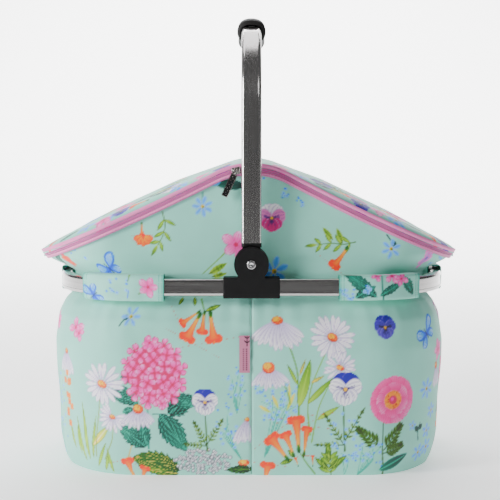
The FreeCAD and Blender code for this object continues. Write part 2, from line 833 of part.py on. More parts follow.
# ------------------------------------------------------------------ places that the record repeats
pull_axis = math.radians(pull_tilt)
slider_a = math.radians(slider_angle)
slider_x = -(crown_radius + coil_line) * math.sin(slider_a)
slider_z = crown_z + (crown_radius + coil_line) * math.cos(slider_a)
hinge_z = crown_z + math.sqrt(roof_radius ** 2 - ridge_half ** 2)
print("handle pivot z", pivot_z, "top", handle_top_z)
print("lid hinge", ridge_half, round(hinge_z, 3))
print("crown centre z", crown_z, "slider", round(slider_x, 3), round(bail_y, 3), round(slider_z, 3))
print("pull axis", round(-math.cos(pull_axis), 4), round(math.sin(pull_axis), 4))
print("lid half length", lid_half_length, "slope radius", round(slope_radius, 1))
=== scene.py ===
# %% [markdown]
# # An insulated carry basket
# The basket is a soft printed bag that hangs in an aluminium ring, with a zipped lid and a folding handle.
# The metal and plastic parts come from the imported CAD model; this script sews the soft parts round them and gives everything its finish.
# Lengths are in metres. Patterns are drawn in millimetres on the flat cloth, since that is how cloth is printed.

# %% Load the frame
import bpy
import math
import numpy as np
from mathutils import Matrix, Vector


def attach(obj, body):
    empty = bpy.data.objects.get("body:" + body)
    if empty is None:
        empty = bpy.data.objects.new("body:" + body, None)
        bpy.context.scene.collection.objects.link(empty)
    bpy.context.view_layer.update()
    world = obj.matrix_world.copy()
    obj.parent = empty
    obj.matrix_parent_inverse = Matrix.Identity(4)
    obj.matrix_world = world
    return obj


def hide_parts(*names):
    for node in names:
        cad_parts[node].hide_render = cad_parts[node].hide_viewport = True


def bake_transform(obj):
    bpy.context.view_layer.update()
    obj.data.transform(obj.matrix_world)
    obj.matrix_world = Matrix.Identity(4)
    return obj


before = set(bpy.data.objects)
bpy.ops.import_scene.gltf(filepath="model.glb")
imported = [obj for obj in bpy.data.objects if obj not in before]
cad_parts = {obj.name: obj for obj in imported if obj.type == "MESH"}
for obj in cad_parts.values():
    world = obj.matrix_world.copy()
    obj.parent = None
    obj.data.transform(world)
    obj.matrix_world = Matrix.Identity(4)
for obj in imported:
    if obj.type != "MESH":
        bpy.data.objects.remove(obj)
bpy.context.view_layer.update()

MM = 0.001

# %% [markdown]
# ## Helpers for objects and meshes
# Every soft panel starts as a flat grid of the cloth's real size. Its vertices are then moved onto the bag's form,
# and a Solidify modifier gives the cloth its thickness. Working this way keeps the length of the cloth honest.

# %% Small helpers
def only(obj):
    """Select one object and nothing else."""
    if bpy.context.object and bpy.context.object.mode != "OBJECT":
        bpy.ops.object.mode_set(mode="OBJECT")
    bpy.ops.object.select_all(action="DESELECT")
    obj.select_set(True)
    bpy.context.view_layer.objects.active = obj


def apply_all(obj):
    only(obj)
    bpy.ops.object.transform_apply(location=True, rotation=True, scale=True)
    for modifier in list(obj.modifiers):
        bpy.ops.object.modifier_apply(modifier=modifier.name)
    return obj


def vertices(obj):
    co = np.empty(len(obj.data.vertices) * 3)
    obj.data.vertices.foreach_get("co", co)
    return co.reshape(-1, 3)


def set_vertices(obj, co):
    obj.data.vertices.foreach_set("co", np.ascontiguousarray(co, float).ravel())
    obj.data.update()


def grid(name, columns, rows):
    """A flat unit grid, from (0, 0) to (1, 1)."""
    bpy.ops.mesh.primitive_grid_add(x_subdivisions=columns, y_subdivisions=rows, size=1, location=(0.5, 0.5, 0))
    obj = bpy.context.object
    obj.name = name
    only(obj)
    bpy.ops.object.transform_apply(location=True, rotation=False, scale=False)
    return obj


def flat_map(obj, a, b):
    """Keep the flat cloth coordinates, in metres, as a UV map, so that the weave follows the cloth."""
    layer = obj.data.uv_layers.new(name="flat") if not obj.data.uv_layers else obj.data.uv_layers[0]
    layer.name = "flat"
    loops = np.empty(len(obj.data.loops), int)
    obj.data.loops.foreach_get("vertex_index", loops)
    layer.data.foreach_set("uv", np.stack([a[loops], b[loops]], 1).ravel() * MM)


def paint(obj, colours):
    """Write sRGB colours, one for each vertex, as the cloth's print."""
    c = np.clip(colours, 0, 1)
    linear = np.where(c <= 0.04045, c / 12.92, ((c + 0.055) / 1.055) ** 2.4)
    layer = obj.data.color_attributes.new(name="print", type="FLOAT_COLOR", domain="POINT")
    layer.data.foreach_set("color", np.concatenate([linear, np.ones((len(c), 1))], 1).ravel())


def outwards(obj):
    """Make the normals point out of a closed mesh."""
    only(obj)
    bpy.ops.object.mode_set(mode="EDIT")
    bpy.ops.mesh.select_all(action="SELECT")
    bpy.ops.mesh.normals_make_consistent(inside=False)
    bpy.ops.object.mode_set(mode="OBJECT")


def thicken(obj, thickness, offset=-1.0):
    modifier = obj.modifiers.new("Solidify", "SOLIDIFY")
    modifier.thickness = thickness
    modifier.offset = offset
    apply_all(obj)


def weld(obj, distance=0.00002):
    only(obj)
    bpy.ops.object.mode_set(mode="EDIT")
    bpy.ops.mesh.select_all(action="SELECT")
    bpy.ops.mesh.remove_doubles(threshold=distance)
    bpy.ops.object.mode_set(mode="OBJECT")


def smooth(obj, degrees=40):
    only(obj)
    bpy.ops.object.shade_smooth_by_angle(angle=math.radians(degrees))


def finish_piece(obj, material, body, angle=40):
    obj.data.materials.clear()
    obj.data.materials.append(material)
    smooth(obj, angle)
    if body:
        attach(obj, body)
    print(obj.name, len(obj.data.polygons), "faces")
    return obj


def half_turned(obj, name):
    """A copy turned half round the Z axis: the rear of the basket repeats the front."""
    only(obj)
    bpy.ops.object.duplicate()
    copy = bpy.context.object
    copy.name = name
    co = vertices(copy)
    co[:, :2] *= -1
    set_vertices(copy, co)
    return copy


# %% [markdown]
# ## Materials
# The cloth is a fine polyester weave: its colour is the print, a little uneven, and the weave is a very shallow bump.
# The noise varies the tone over a few centimetres, as dyed cloth does.

# %% Material helpers
def shader(name):
    material = bpy.data.materials.new(name)
    material.use_nodes = True
    tree = material.node_tree
    return material, tree, tree.nodes["Principled BSDF"]


def add(tree, kind, inputs=None, **settings):
    node = tree.nodes.new(kind)
    for key, value in settings.items():
        setattr(node, key, value)
    for key, value in (inputs or {}).items():
        node.inputs[key].default_value = value
    return node


def object_coordinates(tree, stretch=(1, 1, 1)):
    place = add(tree, "ShaderNodeTexCoord")
    mapping = add(tree, "ShaderNodeMapping", {"Scale": stretch})
    tree.links.new(place.outputs["Object"], mapping.inputs["Vector"])
    return mapping.outputs["Vector"]


def varied(tree, vector, scale, low, high, colour_socket=None, colour=None):
    """A colour multiplied by noise between two levels."""
    noise = add(tree, "ShaderNodeTexNoise", {"Scale": scale, "Detail": 4.0})
    span = add(tree, "ShaderNodeMapRange", {"From Min": 0.3, "From Max": 0.7, "To Min": low, "To Max": high})
    mix = add(tree, "ShaderNodeMix", {"Factor": 1.0}, data_type="RGBA", blend_type="MULTIPLY")
    tree.links.new(vector, noise.inputs["Vector"])
    tree.links.new(noise.outputs["Fac"], span.inputs["Value"])
    if colour_socket is None:
        mix.inputs[6].default_value = (*colour, 1)
    else:
        tree.links.new(colour_socket, mix.inputs[6])
    tree.links.new(span.outputs["Result"], mix.inputs[7])
    return mix.outputs[2]


def bump(tree, height, strength, distance, bsdf):
    node = add(tree, "ShaderNodeBump", {"Strength": strength, "Distance": distance})
    tree.links.new(height, node.inputs["Height"])
    tree.links.new(node.outputs["Normal"], bsdf.inputs["Normal"])


def cloth(name, pitch, roughness, sheen, strength, colour=None, low=0.95, high=1.04, metallic=0.0):
    """Woven cloth: two crossing sets of threads, and the print or one dyed colour."""
    material, tree, bsdf = shader(name)
    uv = add(tree, "ShaderNodeUVMap", uv_map="flat")
    waves = []
    for direction in ("X", "Y"):
        wave = add(tree, "ShaderNodeTexWave", {"Scale": 0.314 / (pitch * MM), "Distortion": 0.4},
                   bands_direction=direction)
        tree.links.new(uv.outputs["UV"], wave.inputs["Vector"])
        waves.append(wave)
    weave = add(tree, "ShaderNodeMath", operation="MULTIPLY")
    tree.links.new(waves[0].outputs["Fac"], weave.inputs[0])
    tree.links.new(waves[1].outputs["Fac"], weave.inputs[1])
    bump(tree, weave.outputs["Value"], strength, 0.15 * MM, bsdf)
    if colour is None:
        source = add(tree, "ShaderNodeVertexColor", layer_name="print").outputs["Color"]
        base = varied(tree, object_coordinates(tree), 22, low, high, colour_socket=source)
    else:
        base = varied(tree, object_coordinates(tree), 22, low, high, colour=colour)
    tree.links.new(base, bsdf.inputs["Base Color"])
    bsdf.inputs["Roughness"].default_value = roughness
    bsdf.inputs["Metallic"].default_value = metallic
    bsdf.inputs["Sheen Weight"].default_value = sheen
    bsdf.inputs["Sheen Roughness"].default_value = 0.4
    return material


def metal(name, colour, roughness, stretch, low=0.86, high=1.08, scale=60, strength=0.06):
    """Metal with fine marks drawn out along one direction."""
    material, tree, bsdf = shader(name)
    vector = object_coordinates(tree, stretch)
    tree.links.new(varied(tree, vector, scale, low, high, colour=colour), bsdf.inputs["Base Color"])
    grain = add(tree, "ShaderNodeTexNoise", {"Scale": scale * 4, "Detail": 5.0})
    tree.links.new(vector, grain.inputs["Vector"])
    bump(tree, grain.outputs["Fac"], strength, 0.1 * MM, bsdf)
    rough = add(tree, "ShaderNodeMapRange", {"From Min": 0.3, "From Max": 0.7, "To Min": roughness * 0.8,
                                             "To Max": roughness * 1.25})
    tree.links.new(grain.outputs["Fac"], rough.inputs["Value"])
    tree.links.new(rough.outputs["Result"], bsdf.inputs["Roughness"])
    bsdf.inputs["Metallic"].default_value = 1.0
    return material


def solid(name, colour, roughness, scale, strength, low=0.85, high=1.15, sheen=0.0, shine=0.5):
    """Moulded plastic, rubber or foam: a grainy skin of nearly one colour."""
    material, tree, bsdf = shader(name)
    vector = object_coordinates(tree)
    tree.links.new(varied(tree, vector, scale, low, high, colour=colour), bsdf.inputs["Base Color"])
    grain = add(tree, "ShaderNodeTexNoise", {"Scale": scale * 12, "Detail": 3.0})
    tree.links.new(vector, grain.inputs["Vector"])
    bump(tree, grain.outputs["Fac"], strength, 0.2 * MM, bsdf)
    bsdf.inputs["Roughness"].default_value = roughness
    bsdf.inputs["Specular IOR Level"].default_value = shine
    bsdf.inputs["Sheen Weight"].default_value = sheen
    return material


# %% The finishes
fabric = cloth("printed_fabric", 0.55, 0.6, 0.18, 0.3)
webbing = cloth("pink_webbing", 0.9, 0.55, 0.3, 0.6)
foil = cloth("foil", 1.6, 0.32, 0.0, 0.5, colour=(0.62, 0.64, 0.66), low=0.86, high=1.08, metallic=0.7)
thread = cloth("thread", 0.4, 0.55, 0.3, 0.4, colour=(0.36, 0.66, 0.58))
rail_metal = metal("aluminium_rail", (0.56, 0.545, 0.54), 0.17, (0.05, 0.05, 8), strength=0.02)
tube_metal = metal("aluminium_tube", (0.68, 0.66, 0.655), 0.2, (8, 8, 0.05), strength=0.015)
steel = metal("steel", (0.80, 0.80, 0.81), 0.22, (1, 1, 1), scale=120)
zip_metal = metal("zip_metal", (0.42, 0.40, 0.38), 0.24, (1, 1, 1), low=0.7, scale=200)
plastic = solid("black_plastic", (0.005, 0.005, 0.0055), 0.55, 90, 0.15, shine=0.22)
nylon = solid("washer_nylon", (0.78, 0.77, 0.73), 0.5, 40, 0.1)
rubber = solid("grip_foam", (0.010, 0.009, 0.009), 0.72, 120, 0.4, sheen=0.08, shine=0.35)
enamel = solid("zip_enamel", (0.010, 0.010, 0.011), 0.22, 60, 0.05)
for node, material in (
    ("rail_left", rail_metal), ("rail_right", rail_metal), ("rail_joiner_front", rail_metal),
    ("rail_joiner_rear", rail_metal), ("handle_tube", tube_metal), ("bracket_screws", steel),
    ("pivot_rivet_front", steel), ("pivot_rivet_rear", steel), ("handle_foot_pins", steel),
    ("hinge_bracket_front", plastic), ("hinge_bracket_rear", plastic), ("handle_foot_front", plastic),
    ("handle_foot_rear", plastic), ("pivot_washers", nylon),
):
    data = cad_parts[node].data
    data.materials.clear()
    data.materials.append(material)
    smooth(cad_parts[node], 30)

# %% [markdown]
# ## Drawing on cloth
# A print is one colour for each vertex of a panel. A motif works out how far each nearby vertex is from a petal's or a
# stem's edge, and lays its colour there with a soft edge. Everything is in millimetres on the flat cloth: x runs along
# the cloth from the front seam, y is the height.

# %% The painter
def rgb(text):
    return np.array([int(text[i:i + 2], 16) for i in (0, 2, 4)]) / 255.0


MINT = rgb("8edcca")
WHITE, LILAC, GREY = rgb("ffffff"), rgb("a89cc8"), rgb("7c7888")
ORANGE, RED, YELLOW, CREAM = rgb("f4781a"), rgb("dc3214"), rgb("f8c020"), rgb("f8e08c")
TEAL, DARK_TEAL, LIGHT_TEAL = rgb("007a6c"), rgb("004440"), rgb("4cc4b0")
GREEN, PALE_GREEN, OLIVE, DARK_GREEN = rgb("6c9420"), rgb("c0d478"), rgb("4a6018"), rgb("0a4a20")
PINK, MAGENTA, PALE_PINK = rgb("f060bc"), rgb("b8046c"), rgb("ffe2f4")
BLUE, SKY, VIOLET = rgb("0a78dc"), rgb("8ccaff"), rgb("34209a")
BLACK, BROWN = rgb("100e14"), rgb("a83408")


class Print:
    def __init__(self, x, y, ground=MINT, soft=0.9):
        self.x, self.y, self.soft = x, y, soft
        self.c = np.tile(ground, (len(x), 1)).astype(float)

    def near(self, x, y, r):
        return np.nonzero((abs(self.x - x) < r) & (abs(self.y - y) < r))[0]

    def lay(self, i, d, colour, opacity=1.0):
        """Lay a colour where the signed distance d, in millimetres, is below zero."""
        a = (np.clip(0.5 - d / self.soft, 0, 1) * opacity)[:, None]
        grey = np.mean(colour, axis=-1, keepdims=True)
        ink = np.clip(grey + 1.45 * (colour - grey), 0, 1) ** 1.4      # purer and deeper, as the studio light pales it
        self.c[i] = self.c[i] * (1 - a) + ink * a

    def petal(self, x, y, turn, length, width, tip, base=None, rim=None, fat=0.55, point=0.7, veins=0, vein=None,
              teeth=0, rim_width=0.7, opacity=1.0):
        """A petal or leaf that grows from (x, y). fat is where it is widest, point how pointed its ends are."""
        a = math.radians(turn)
        i = self.near(x + math.cos(a) * length / 2, y + math.sin(a) * length / 2, length * 0.6 + width * 0.6)
        if not len(i):
            return
        u = (self.x[i] - x) * math.cos(a) + (self.y[i] - y) * math.sin(a)
        v = (self.y[i] - y) * math.cos(a) - (self.x[i] - x) * math.sin(a)
        t = np.clip(u / length, 0.001, 0.999)
        half = width / 2 * np.sin(np.pi * t ** (math.log(0.5) / math.log(fat))) ** point
        if teeth:
            half = half * (1 - 0.22 * (1 - np.mod(t * teeth + 0.35 * abs(v) / width, 1.0)))
        d = abs(v) - half
        d = np.where(u < 0, np.hypot(u, v), np.where(u > length, np.hypot(u - length, v), d))
        base = tip if base is None else base
        colour = base * (1 - t)[:, None] + tip * t[:, None]
        if veins:
            across = v / np.maximum(half, 0.3)
            line = np.cos(np.pi * (across * veins + 0.9 * t * np.sign(across) * (teeth > 0) * 3)) ** 8
            colour = colour + (vein - colour) * (line * 0.75 * (t > 0.06))[:, None]
        self.lay(i, d, colour, opacity)
        if rim is not None:
            self.lay(i, abs(d + rim_width * 0.6) - rim_width / 2, rim, 0.85 * opacity)

    def disc(self, x, y, r, colour, squeeze=1.0, turn=0.0, opacity=1.0):
        a = math.radians(turn)
        i = self.near(x, y, r * 1.5 + 2)
        u = (self.x[i] - x) * math.cos(a) + (self.y[i] - y) * math.sin(a)
        v = ((self.y[i] - y) * math.cos(a) - (self.x[i] - x) * math.sin(a)) / squeeze
        self.lay(i, np.hypot(u, v) - r, colour, opacity)

    def stem(self, points, width, colour, taper=0.6, light=None):
        """A line through points, smoothed, that thins towards its far end."""
        p = np.array(points, float)
        t = np.linspace(0, 1, 2 + 6 * (len(p) - 1))
        knots = np.linspace(0, 1, len(p))
        line = np.stack([np.interp(t, knots, p[:, k]) for k in (0, 1)], 1)
        for _ in range(3):
            line[1:-1] = (line[:-2] + line[1:-1] * 2 + line[2:]) / 4
        middle, reach = line.mean(0), np.ptp(line, axis=0).max() / 2 + width + 2
        i = self.near(middle[0], middle[1], reach)
        if not len(i):
            return
        best = np.full(len(i), 1e9)
        for k in range(len(line) - 1):
            a, b = line[k], line[k + 1]
            ab = b - a
            s = np.clip(((self.x[i] - a[0]) * ab[0] + (self.y[i] - a[1]) * ab[1]) / (ab @ ab + 1e-9), 0, 1)
            half = width / 2 * (1 - (1 - taper) * (k + s) / (len(line) - 1))
            best = np.minimum(best, np.hypot(self.x[i] - a[0] - s * ab[0], self.y[i] - a[1] - s * ab[1]) - half)
        self.lay(i, best, colour)
        if light is not None:
            self.lay(i, best + width * 0.3, light, 0.7)


# %% [markdown]
# ### The flowers
# Each function draws one kind of flower from the print: daisies, coneflowers, pansies, a hydrangea, a peony, trumpet
# flowers, leaves and small sprays. A seeded random generator makes petals uneven, and the same at every run.

# %% Flowers with a middle
def heart(p, x, y, w, h, turn=0.0, dark=ORANGE, light=YELLOW):
    """The seeded middle of a daisy."""
    p.disc(x, y, w / 2, BROWN, h / w, turn)
    p.disc(x, y + h * 0.04, w / 2 - 0.5, dark, h / w, turn)
    p.disc(x - w * 0.1, y + h * 0.14, w * 0.3, light, h / w, turn)
    rng = np.random.default_rng(int(abs(x * 7 + y)))
    for _ in range(int(w * 1.6)):
        a, r = rng.uniform(0, 6.28), rng.uniform(0.1, 0.42)
        p.disc(x + math.cos(a) * w * r, y + math.sin(a) * h * r, 0.5, BROWN if rng.random() < 0.5 else CREAM, opacity=0.7)


def daisy(p, x, y, r, start=0, end=360, petals=17, middle=0.5, lean=(0, 0), flat=0.75, drop=0.0):
    rng = np.random.default_rng(int(abs(x * 13 + y * 3)))
    step = (end - start) / petals
    for order in (0, 1):
        for k in range(order, petals, 2):
            a = start + (k + 0.5) * step + rng.uniform(-4, 4)
            reach = r * rng.uniform(0.86, 1.06) * (1 + 0.12 * (lean[0] * math.cos(math.radians(a))
                                                               + lean[1] * math.sin(math.radians(a))))
            bx, by = x + middle * r * 0.3 * math.cos(math.radians(a)), y + middle * r * 0.3 * math.sin(math.radians(a))
            p.petal(bx, by, a - drop * math.cos(math.radians(a)), reach * 0.9, r * 0.24, rgb("ffffff"), rgb("fbf8ff"),
                    rim=rgb("b9a8cc"), fat=0.66, point=0.55, veins=1, vein=rgb("e6def2"), rim_width=0.5)
    heart(p, x, y, r * middle, r * middle * flat, -20)


def coneflower(p, x, y, r, start=195, end=345, petals=9, w=12.0, h=10.0):
    """A daisy seen from the side, whose petals hang."""
    rng = np.random.default_rng(int(abs(x * 5 + y * 11)))
    step = (end - start) / petals
    for k in range(petals):
        a = start + (k + 0.5) * step + rng.uniform(-3, 3)
        bx = x + w * 0.42 * math.cos(math.radians(a))
        p.petal(bx, y - h * 0.15, 0.35 * 270 + 0.65 * a, r * rng.uniform(0.9, 1.08), r * 0.24, WHITE, rgb("dcd5ea"),
                rim=rgb("c4b9d4"), fat=0.62, point=0.55, veins=1, vein=rgb("cfc6dd"), rim_width=0.5)
    heart(p, x, y, w, h)


def pansy(p, x, y, r, top=VIOLET, side=WHITE, low=WHITE, line=rgb("3b2a6b"), rim=LILAC):
    for a, colour, length, width in ((122, top, 1.0, 1.05), (60, top, 1.0, 1.05), (165, side, 0.98, 0.95),
                                     (15, side, 0.98, 0.95), (233, low, 0.92, 0.85), (307, low, 0.92, 0.85),
                                     (270, low, 0.96, 1.0)):
        p.petal(x - 0.12 * r * math.cos(math.radians(a)), y - 0.12 * r * math.sin(math.radians(a)), a, r * length * 1.1,
                r * width, colour, colour * 0.88 + line * 0.12, rim=rim, fat=0.64, point=0.42, veins=2,
                vein=colour * 0.7 + line * 0.3, rim_width=0.5)
    for a in (160, 170, 182, 0, 10, 22, 248, 262, 278, 292):
        q = math.radians(a)
        p.stem([(x + 0.15 * r * math.cos(q), y + 0.15 * r * math.sin(q)),
                (x + 0.55 * r * math.cos(q), y + 0.55 * r * math.sin(q))], 0.9, line, taper=0.2)
    p.disc(x, y - 0.04 * r, 0.16 * r, line, 0.8)
    p.disc(x, y - 0.02 * r, 0.11 * r, YELLOW)


def star(p, x, y, r, turn=90, petals=4, colour=PALE_PINK, rim=MAGENTA, middle=MAGENTA):
    for k in range(petals):
        p.petal(x, y, turn + k * 360 / petals, r * (1.0 if k % 2 else 0.86), r * 0.62, colour, middle * 0.5 + colour * 0.5,
                rim=rim * 0.6 + colour * 0.4, fat=0.58, point=0.75, veins=2, vein=PINK)
    p.disc(x, y, r * 0.13, middle)


def blue_flower(p, x, y, r, turn=90, petals=6, open_=0.5):
    for k in range(petals):
        a = turn + k * 360 / petals
        p.petal(x, y, a, r, r * open_, SKY, rgb("7fb2ea"), rim=rgb("c8def7"), fat=0.66, point=0.6, veins=1,
                vein=rgb("6aa5e6"))
    p.disc(x, y, r * 0.17, rgb("d7c43a"))
    p.disc(x + r * 0.05, y - r * 0.04, r * 0.08, OLIVE)


def hydrangea(p, x, y, rx, ry):
    """A ball of small four-petalled flowers with deep pink between them."""
    p.disc(x, y, rx * 0.93, MAGENTA * 0.85 + PINK * 0.15, ry / rx)
    rng = np.random.default_rng(5)
    spots = []
    ring = [(0.0, 1), (0.42, 5), (0.74, 9), (0.96, 12)]
    for q, count in reversed(ring):
        for k in range(count):
            a = 2 * math.pi * (k + rng.uniform(-0.12, 0.12)) / count + q * 4
            spots.append((x + q * rx * math.cos(a), y + q * ry * math.sin(a)))
    for sx, sy in spots:
        size = rng.uniform(8.4, 10.2)
        turn = rng.uniform(0, 90)
        shade = rng.uniform(0.0, 0.45)
        for k in range(4):
            p.petal(sx, sy, turn + 90 * k, size, size * 0.86, PALE_PINK * (1 - shade) + PINK * shade,
                    PINK * 0.8 + MAGENTA * 0.2, rim=MAGENTA, fat=0.66, point=0.66, rim_width=1.0)
        p.disc(sx, sy, 1.6, MAGENTA)


def peony(p, x, y, r):
    rng = np.random.default_rng(3)
    for ring, count, size in ((1.0, 9, 0.66), (0.74, 8, 0.6), (0.5, 7, 0.48)):
        for k in range(count):
            a = 360 * (k + 0.25 * ring) / count + rng.uniform(-8, 8)
            q = math.radians(a)
            p.petal(x + (ring - 0.62) * r * 0.75 * math.cos(q), y + (ring - 0.62) * r * 0.75 * math.sin(q), a, r * size,
                    r * size * 1.25, rgb("f4a3cd") if rng.random() < 0.6 else rgb("f9c6e0"), rgb("c92f84"), rim=rgb("d9549d"),
                    fat=0.68, point=0.4, veins=4, vein=rgb("e069a8"), rim_width=0.7)
    p.disc(x, y, r * 0.37, rgb("e79a2b"), 1, 0)
    for k in range(34):
        a, q = rng.uniform(0, 6.28), rng.uniform(0.2, 0.36) * r
        p.disc(x + q * math.cos(a), y + q * math.sin(a), 0.8, YELLOW if k % 3 else BROWN)
    p.disc(x, y, r * 0.17, rgb("c12a74"))
    p.disc(x - 1, y + 1, r * 0.07, PINK)


def trumpet(p, x, y, turn, length, mouth, frill=3):
    """A trumpet flower from its narrow end at (x, y) to its mouth."""
    a = math.radians(turn)
    tx, ty = x + math.cos(a) * length * 0.78, y + math.sin(a) * length * 0.78
    for k in range(frill):
        spread = (k - (frill - 1) / 2) * 62
        p.petal(tx, ty, turn + spread, mouth * (0.5 if abs(spread) > 50 else 0.36), mouth * 0.42, ORANGE, RED, rim=RED,
                fat=0.6, point=0.6, veins=1, vein=YELLOW)
    i = p.near(x + math.cos(a) * length / 2, y + math.sin(a) * length / 2, length)
    if len(i):
        u = (p.x[i] - x) * math.cos(a) + (p.y[i] - y) * math.sin(a)
        v = (p.y[i] - y) * math.cos(a) - (p.x[i] - x) * math.sin(a)
        t = np.clip(u / length, 0, 1)
        half = mouth * (0.07 + 0.1 * t + 0.3 * t ** 4)
        d = np.where(u < 0, np.hypot(u, v) - mouth * 0.07, np.where(u > length * 0.93, u - length * 0.93, abs(v) - half))
        core = CREAM * (1 - t)[:, None] + ORANGE * t[:, None]
        side = np.clip(abs(v) / half, 0, 1)[:, None] ** 2
        p.lay(i, d, core * (1 - side * 0.7) + (RED * 0.8 + ORANGE * 0.2) * side * 0.7)
        p.lay(i, np.maximum(d, 0.86 * length - u), RED, 0.55)
    p.petal(x - math.cos(a) * 3, y - math.sin(a) * 3, turn, length * 0.26, mouth * 0.2, GREEN, DARK_GREEN, fat=0.4)


# %% Leaves, stems and sprays
def leaf(p, x, y, turn, length, width, tip=TEAL, base=DARK_TEAL, vein=LIGHT_TEAL, teeth=7, veins=3):
    p.petal(x, y, turn, length, width, tip, base, rim=base, fat=0.45, point=0.8, veins=veins, vein=vein, teeth=teeth)
    a = math.radians(turn)
    p.stem([(x, y), (x + math.cos(a) * length * 0.9, y + math.sin(a) * length * 0.9)], 0.9, vein, taper=0.3)


def blade(p, x, y, turn, length, width, colour=GREEN, light=PALE_GREEN):
    p.petal(x, y, turn, length, width, colour, light, rim=colour * 0.75, fat=0.42, point=0.9, veins=1, vein=light,
            rim_width=0.5)


def feather(p, x, y, turn, length, colour=OLIVE, light=PALE_GREEN, size=6.0):
    """A stem with small paired pointed leaves, as under a pansy or a peony."""
    a = math.radians(turn)
    for k in range(1, 7):
        q = k / 7
        bx, by = x + math.cos(a) * length * q, y + math.sin(a) * length * q
        for side in (-1, 1):
            p.petal(bx, by, turn + side * (48 - 20 * q), size * (1.35 - 0.8 * q), size * 0.36, colour, light * 0.3 + colour * 0.7,
                    fat=0.5, point=0.9, veins=1, vein=light)
    p.petal(x + math.cos(a) * length * 0.75, y + math.sin(a) * length * 0.75, turn, length * 0.3, size * 0.36, colour)
    p.stem([(x, y), (x + math.cos(a) * length, y + math.sin(a) * length)], 1.0, colour * 0.7)


def sprig(p, points, size, colour=GREEN, light=PALE_GREEN, pairs=4):
    """A bent stem with slender leaves on both sides."""
    pts = np.array(points, float)
    p.stem(points, 1.1, colour * 0.8)
    for k in range(pairs):
        t = (k + 0.6) / pairs * (len(pts) - 1)
        i = min(int(t), len(pts) - 2)
        at = pts[i] + (pts[i + 1] - pts[i]) * (t - i)
        along = math.degrees(math.atan2(*(pts[i + 1] - pts[i])[::-1]))
        for side in (-1, 1):
            p.petal(at[0], at[1], along + side * 48, size * (1 - 0.08 * k), size * 0.27, colour, light, rim=colour * 0.7,
                    fat=0.5, point=0.85, veins=1, vein=light, rim_width=0.5)
    end = pts[-1]
    along = math.degrees(math.atan2(*(pts[-1] - pts[-2])[::-1]))
    p.petal(end[0], end[1], along, size, size * 0.27, colour * 0.8, light, fat=0.5, point=0.85)


def spray(p, x, y, w, h, count, seed, stems=6, foot=None, dots=True):
    """A cloud of small sky-blue flowers on hair-thin stems."""
    rng = np.random.default_rng(seed)
    if foot is not None:
        for _ in range(stems):
            p.stem([foot, (x + rng.uniform(-w, w) * 0.5, y - h * 0.35), (x + rng.uniform(-w, w), y + rng.uniform(-0.2, 1) * h)],
                   0.75, rgb("3fa79a"), taper=0.5)
    for _ in range(count):
        fx, fy = x + rng.uniform(-w, w), y + rng.uniform(-h, h)
        if rng.random() < 0.45:
            p.disc(fx, fy, rng.uniform(0.9, 1.4), rgb("3a97e8") if dots else SKY, rng.uniform(0.7, 1))
        else:
            for k in range(4):
                a = 90 * k + rng.uniform(0, 40)
                p.disc(fx + 1.3 * math.cos(math.radians(a)), fy + 1.3 * math.sin(math.radians(a)), 1.15,
                       SKY * 0.7 + WHITE * 0.3)
            p.disc(fx, fy, 0.6, BLUE)


def butterfly(p, x, y, r, turn=60):
    """Blue wings with pale patches and dark edges."""
    for a, length, width in ((turn - 5, 1.0, 0.5), (turn + 120, 0.78, 0.56), (turn - 62, 0.66, 0.46), (turn + 182, 0.75, 0.4)):
        p.petal(x, y, a, r * length, r * width, rgb("4aa3e6"), BLUE, rim=rgb("1c62b8"), fat=0.66, point=0.5, rim_width=1.1)
        q = math.radians(a)
        p.petal(x + 0.22 * r * math.cos(q), y + 0.22 * r * math.sin(q), a, r * length * 0.66, r * width * 0.62,
                rgb("cfe6fb"), rgb("8cc4f2"), fat=0.62, point=0.5, veins=2, vein=rgb("4aa3e6"))
    q = math.radians(turn + 60)
    p.stem([(x - 0.25 * r * math.cos(q), y - 0.25 * r * math.sin(q)), (x + 0.3 * r * math.cos(q), y + 0.3 * r * math.sin(q))],
           1.5, rgb("12386e"))


def lace(p, x, y, w, h, seed=8):
    """A flat head of tiny white flowers with grey pencil outlines."""
    rng = np.random.default_rng(seed)
    for _ in range(int(w * h * 0.24)):
        a, q = rng.uniform(0, 6.28), math.sqrt(rng.uniform(0, 1))
        fx, fy = x + w * q * math.cos(a), y + h * q * math.sin(a)
        p.disc(fx, fy, 2.2, GREY * 0.75)
        p.disc(fx, fy, 1.75, rgb("eef0f2"))
        p.disc(fx + 0.3, fy - 0.2, 0.45, GREY)


def berries(p, x, y, w, h, seed):
    """A spike of small orange flowers."""
    rng = np.random.default_rng(seed)
    for _ in range(int(w * h * 0.06)):
        fx, fy = x + rng.uniform(-w, w), y + rng.uniform(-h, h)
        for k in range(4):
            p.petal(fx, fy, 45 + 90 * k, 4.4, 3.6, rgb("f7a94a"), YELLOW, rim=ORANGE, fat=0.6, point=0.5)
        p.disc(fx, fy, 0.9, RED)


# %% [markdown]
# ## The print on each panel
# The two front panels carry a meadow that grows from the bottom edge: daisies, a hydrangea, a pansy and trumpet flowers on
# the left of the seam, and daisies, a pansy, a peony and more trumpets on the right. Stems are laid first, so that the
# flowers lie over them.

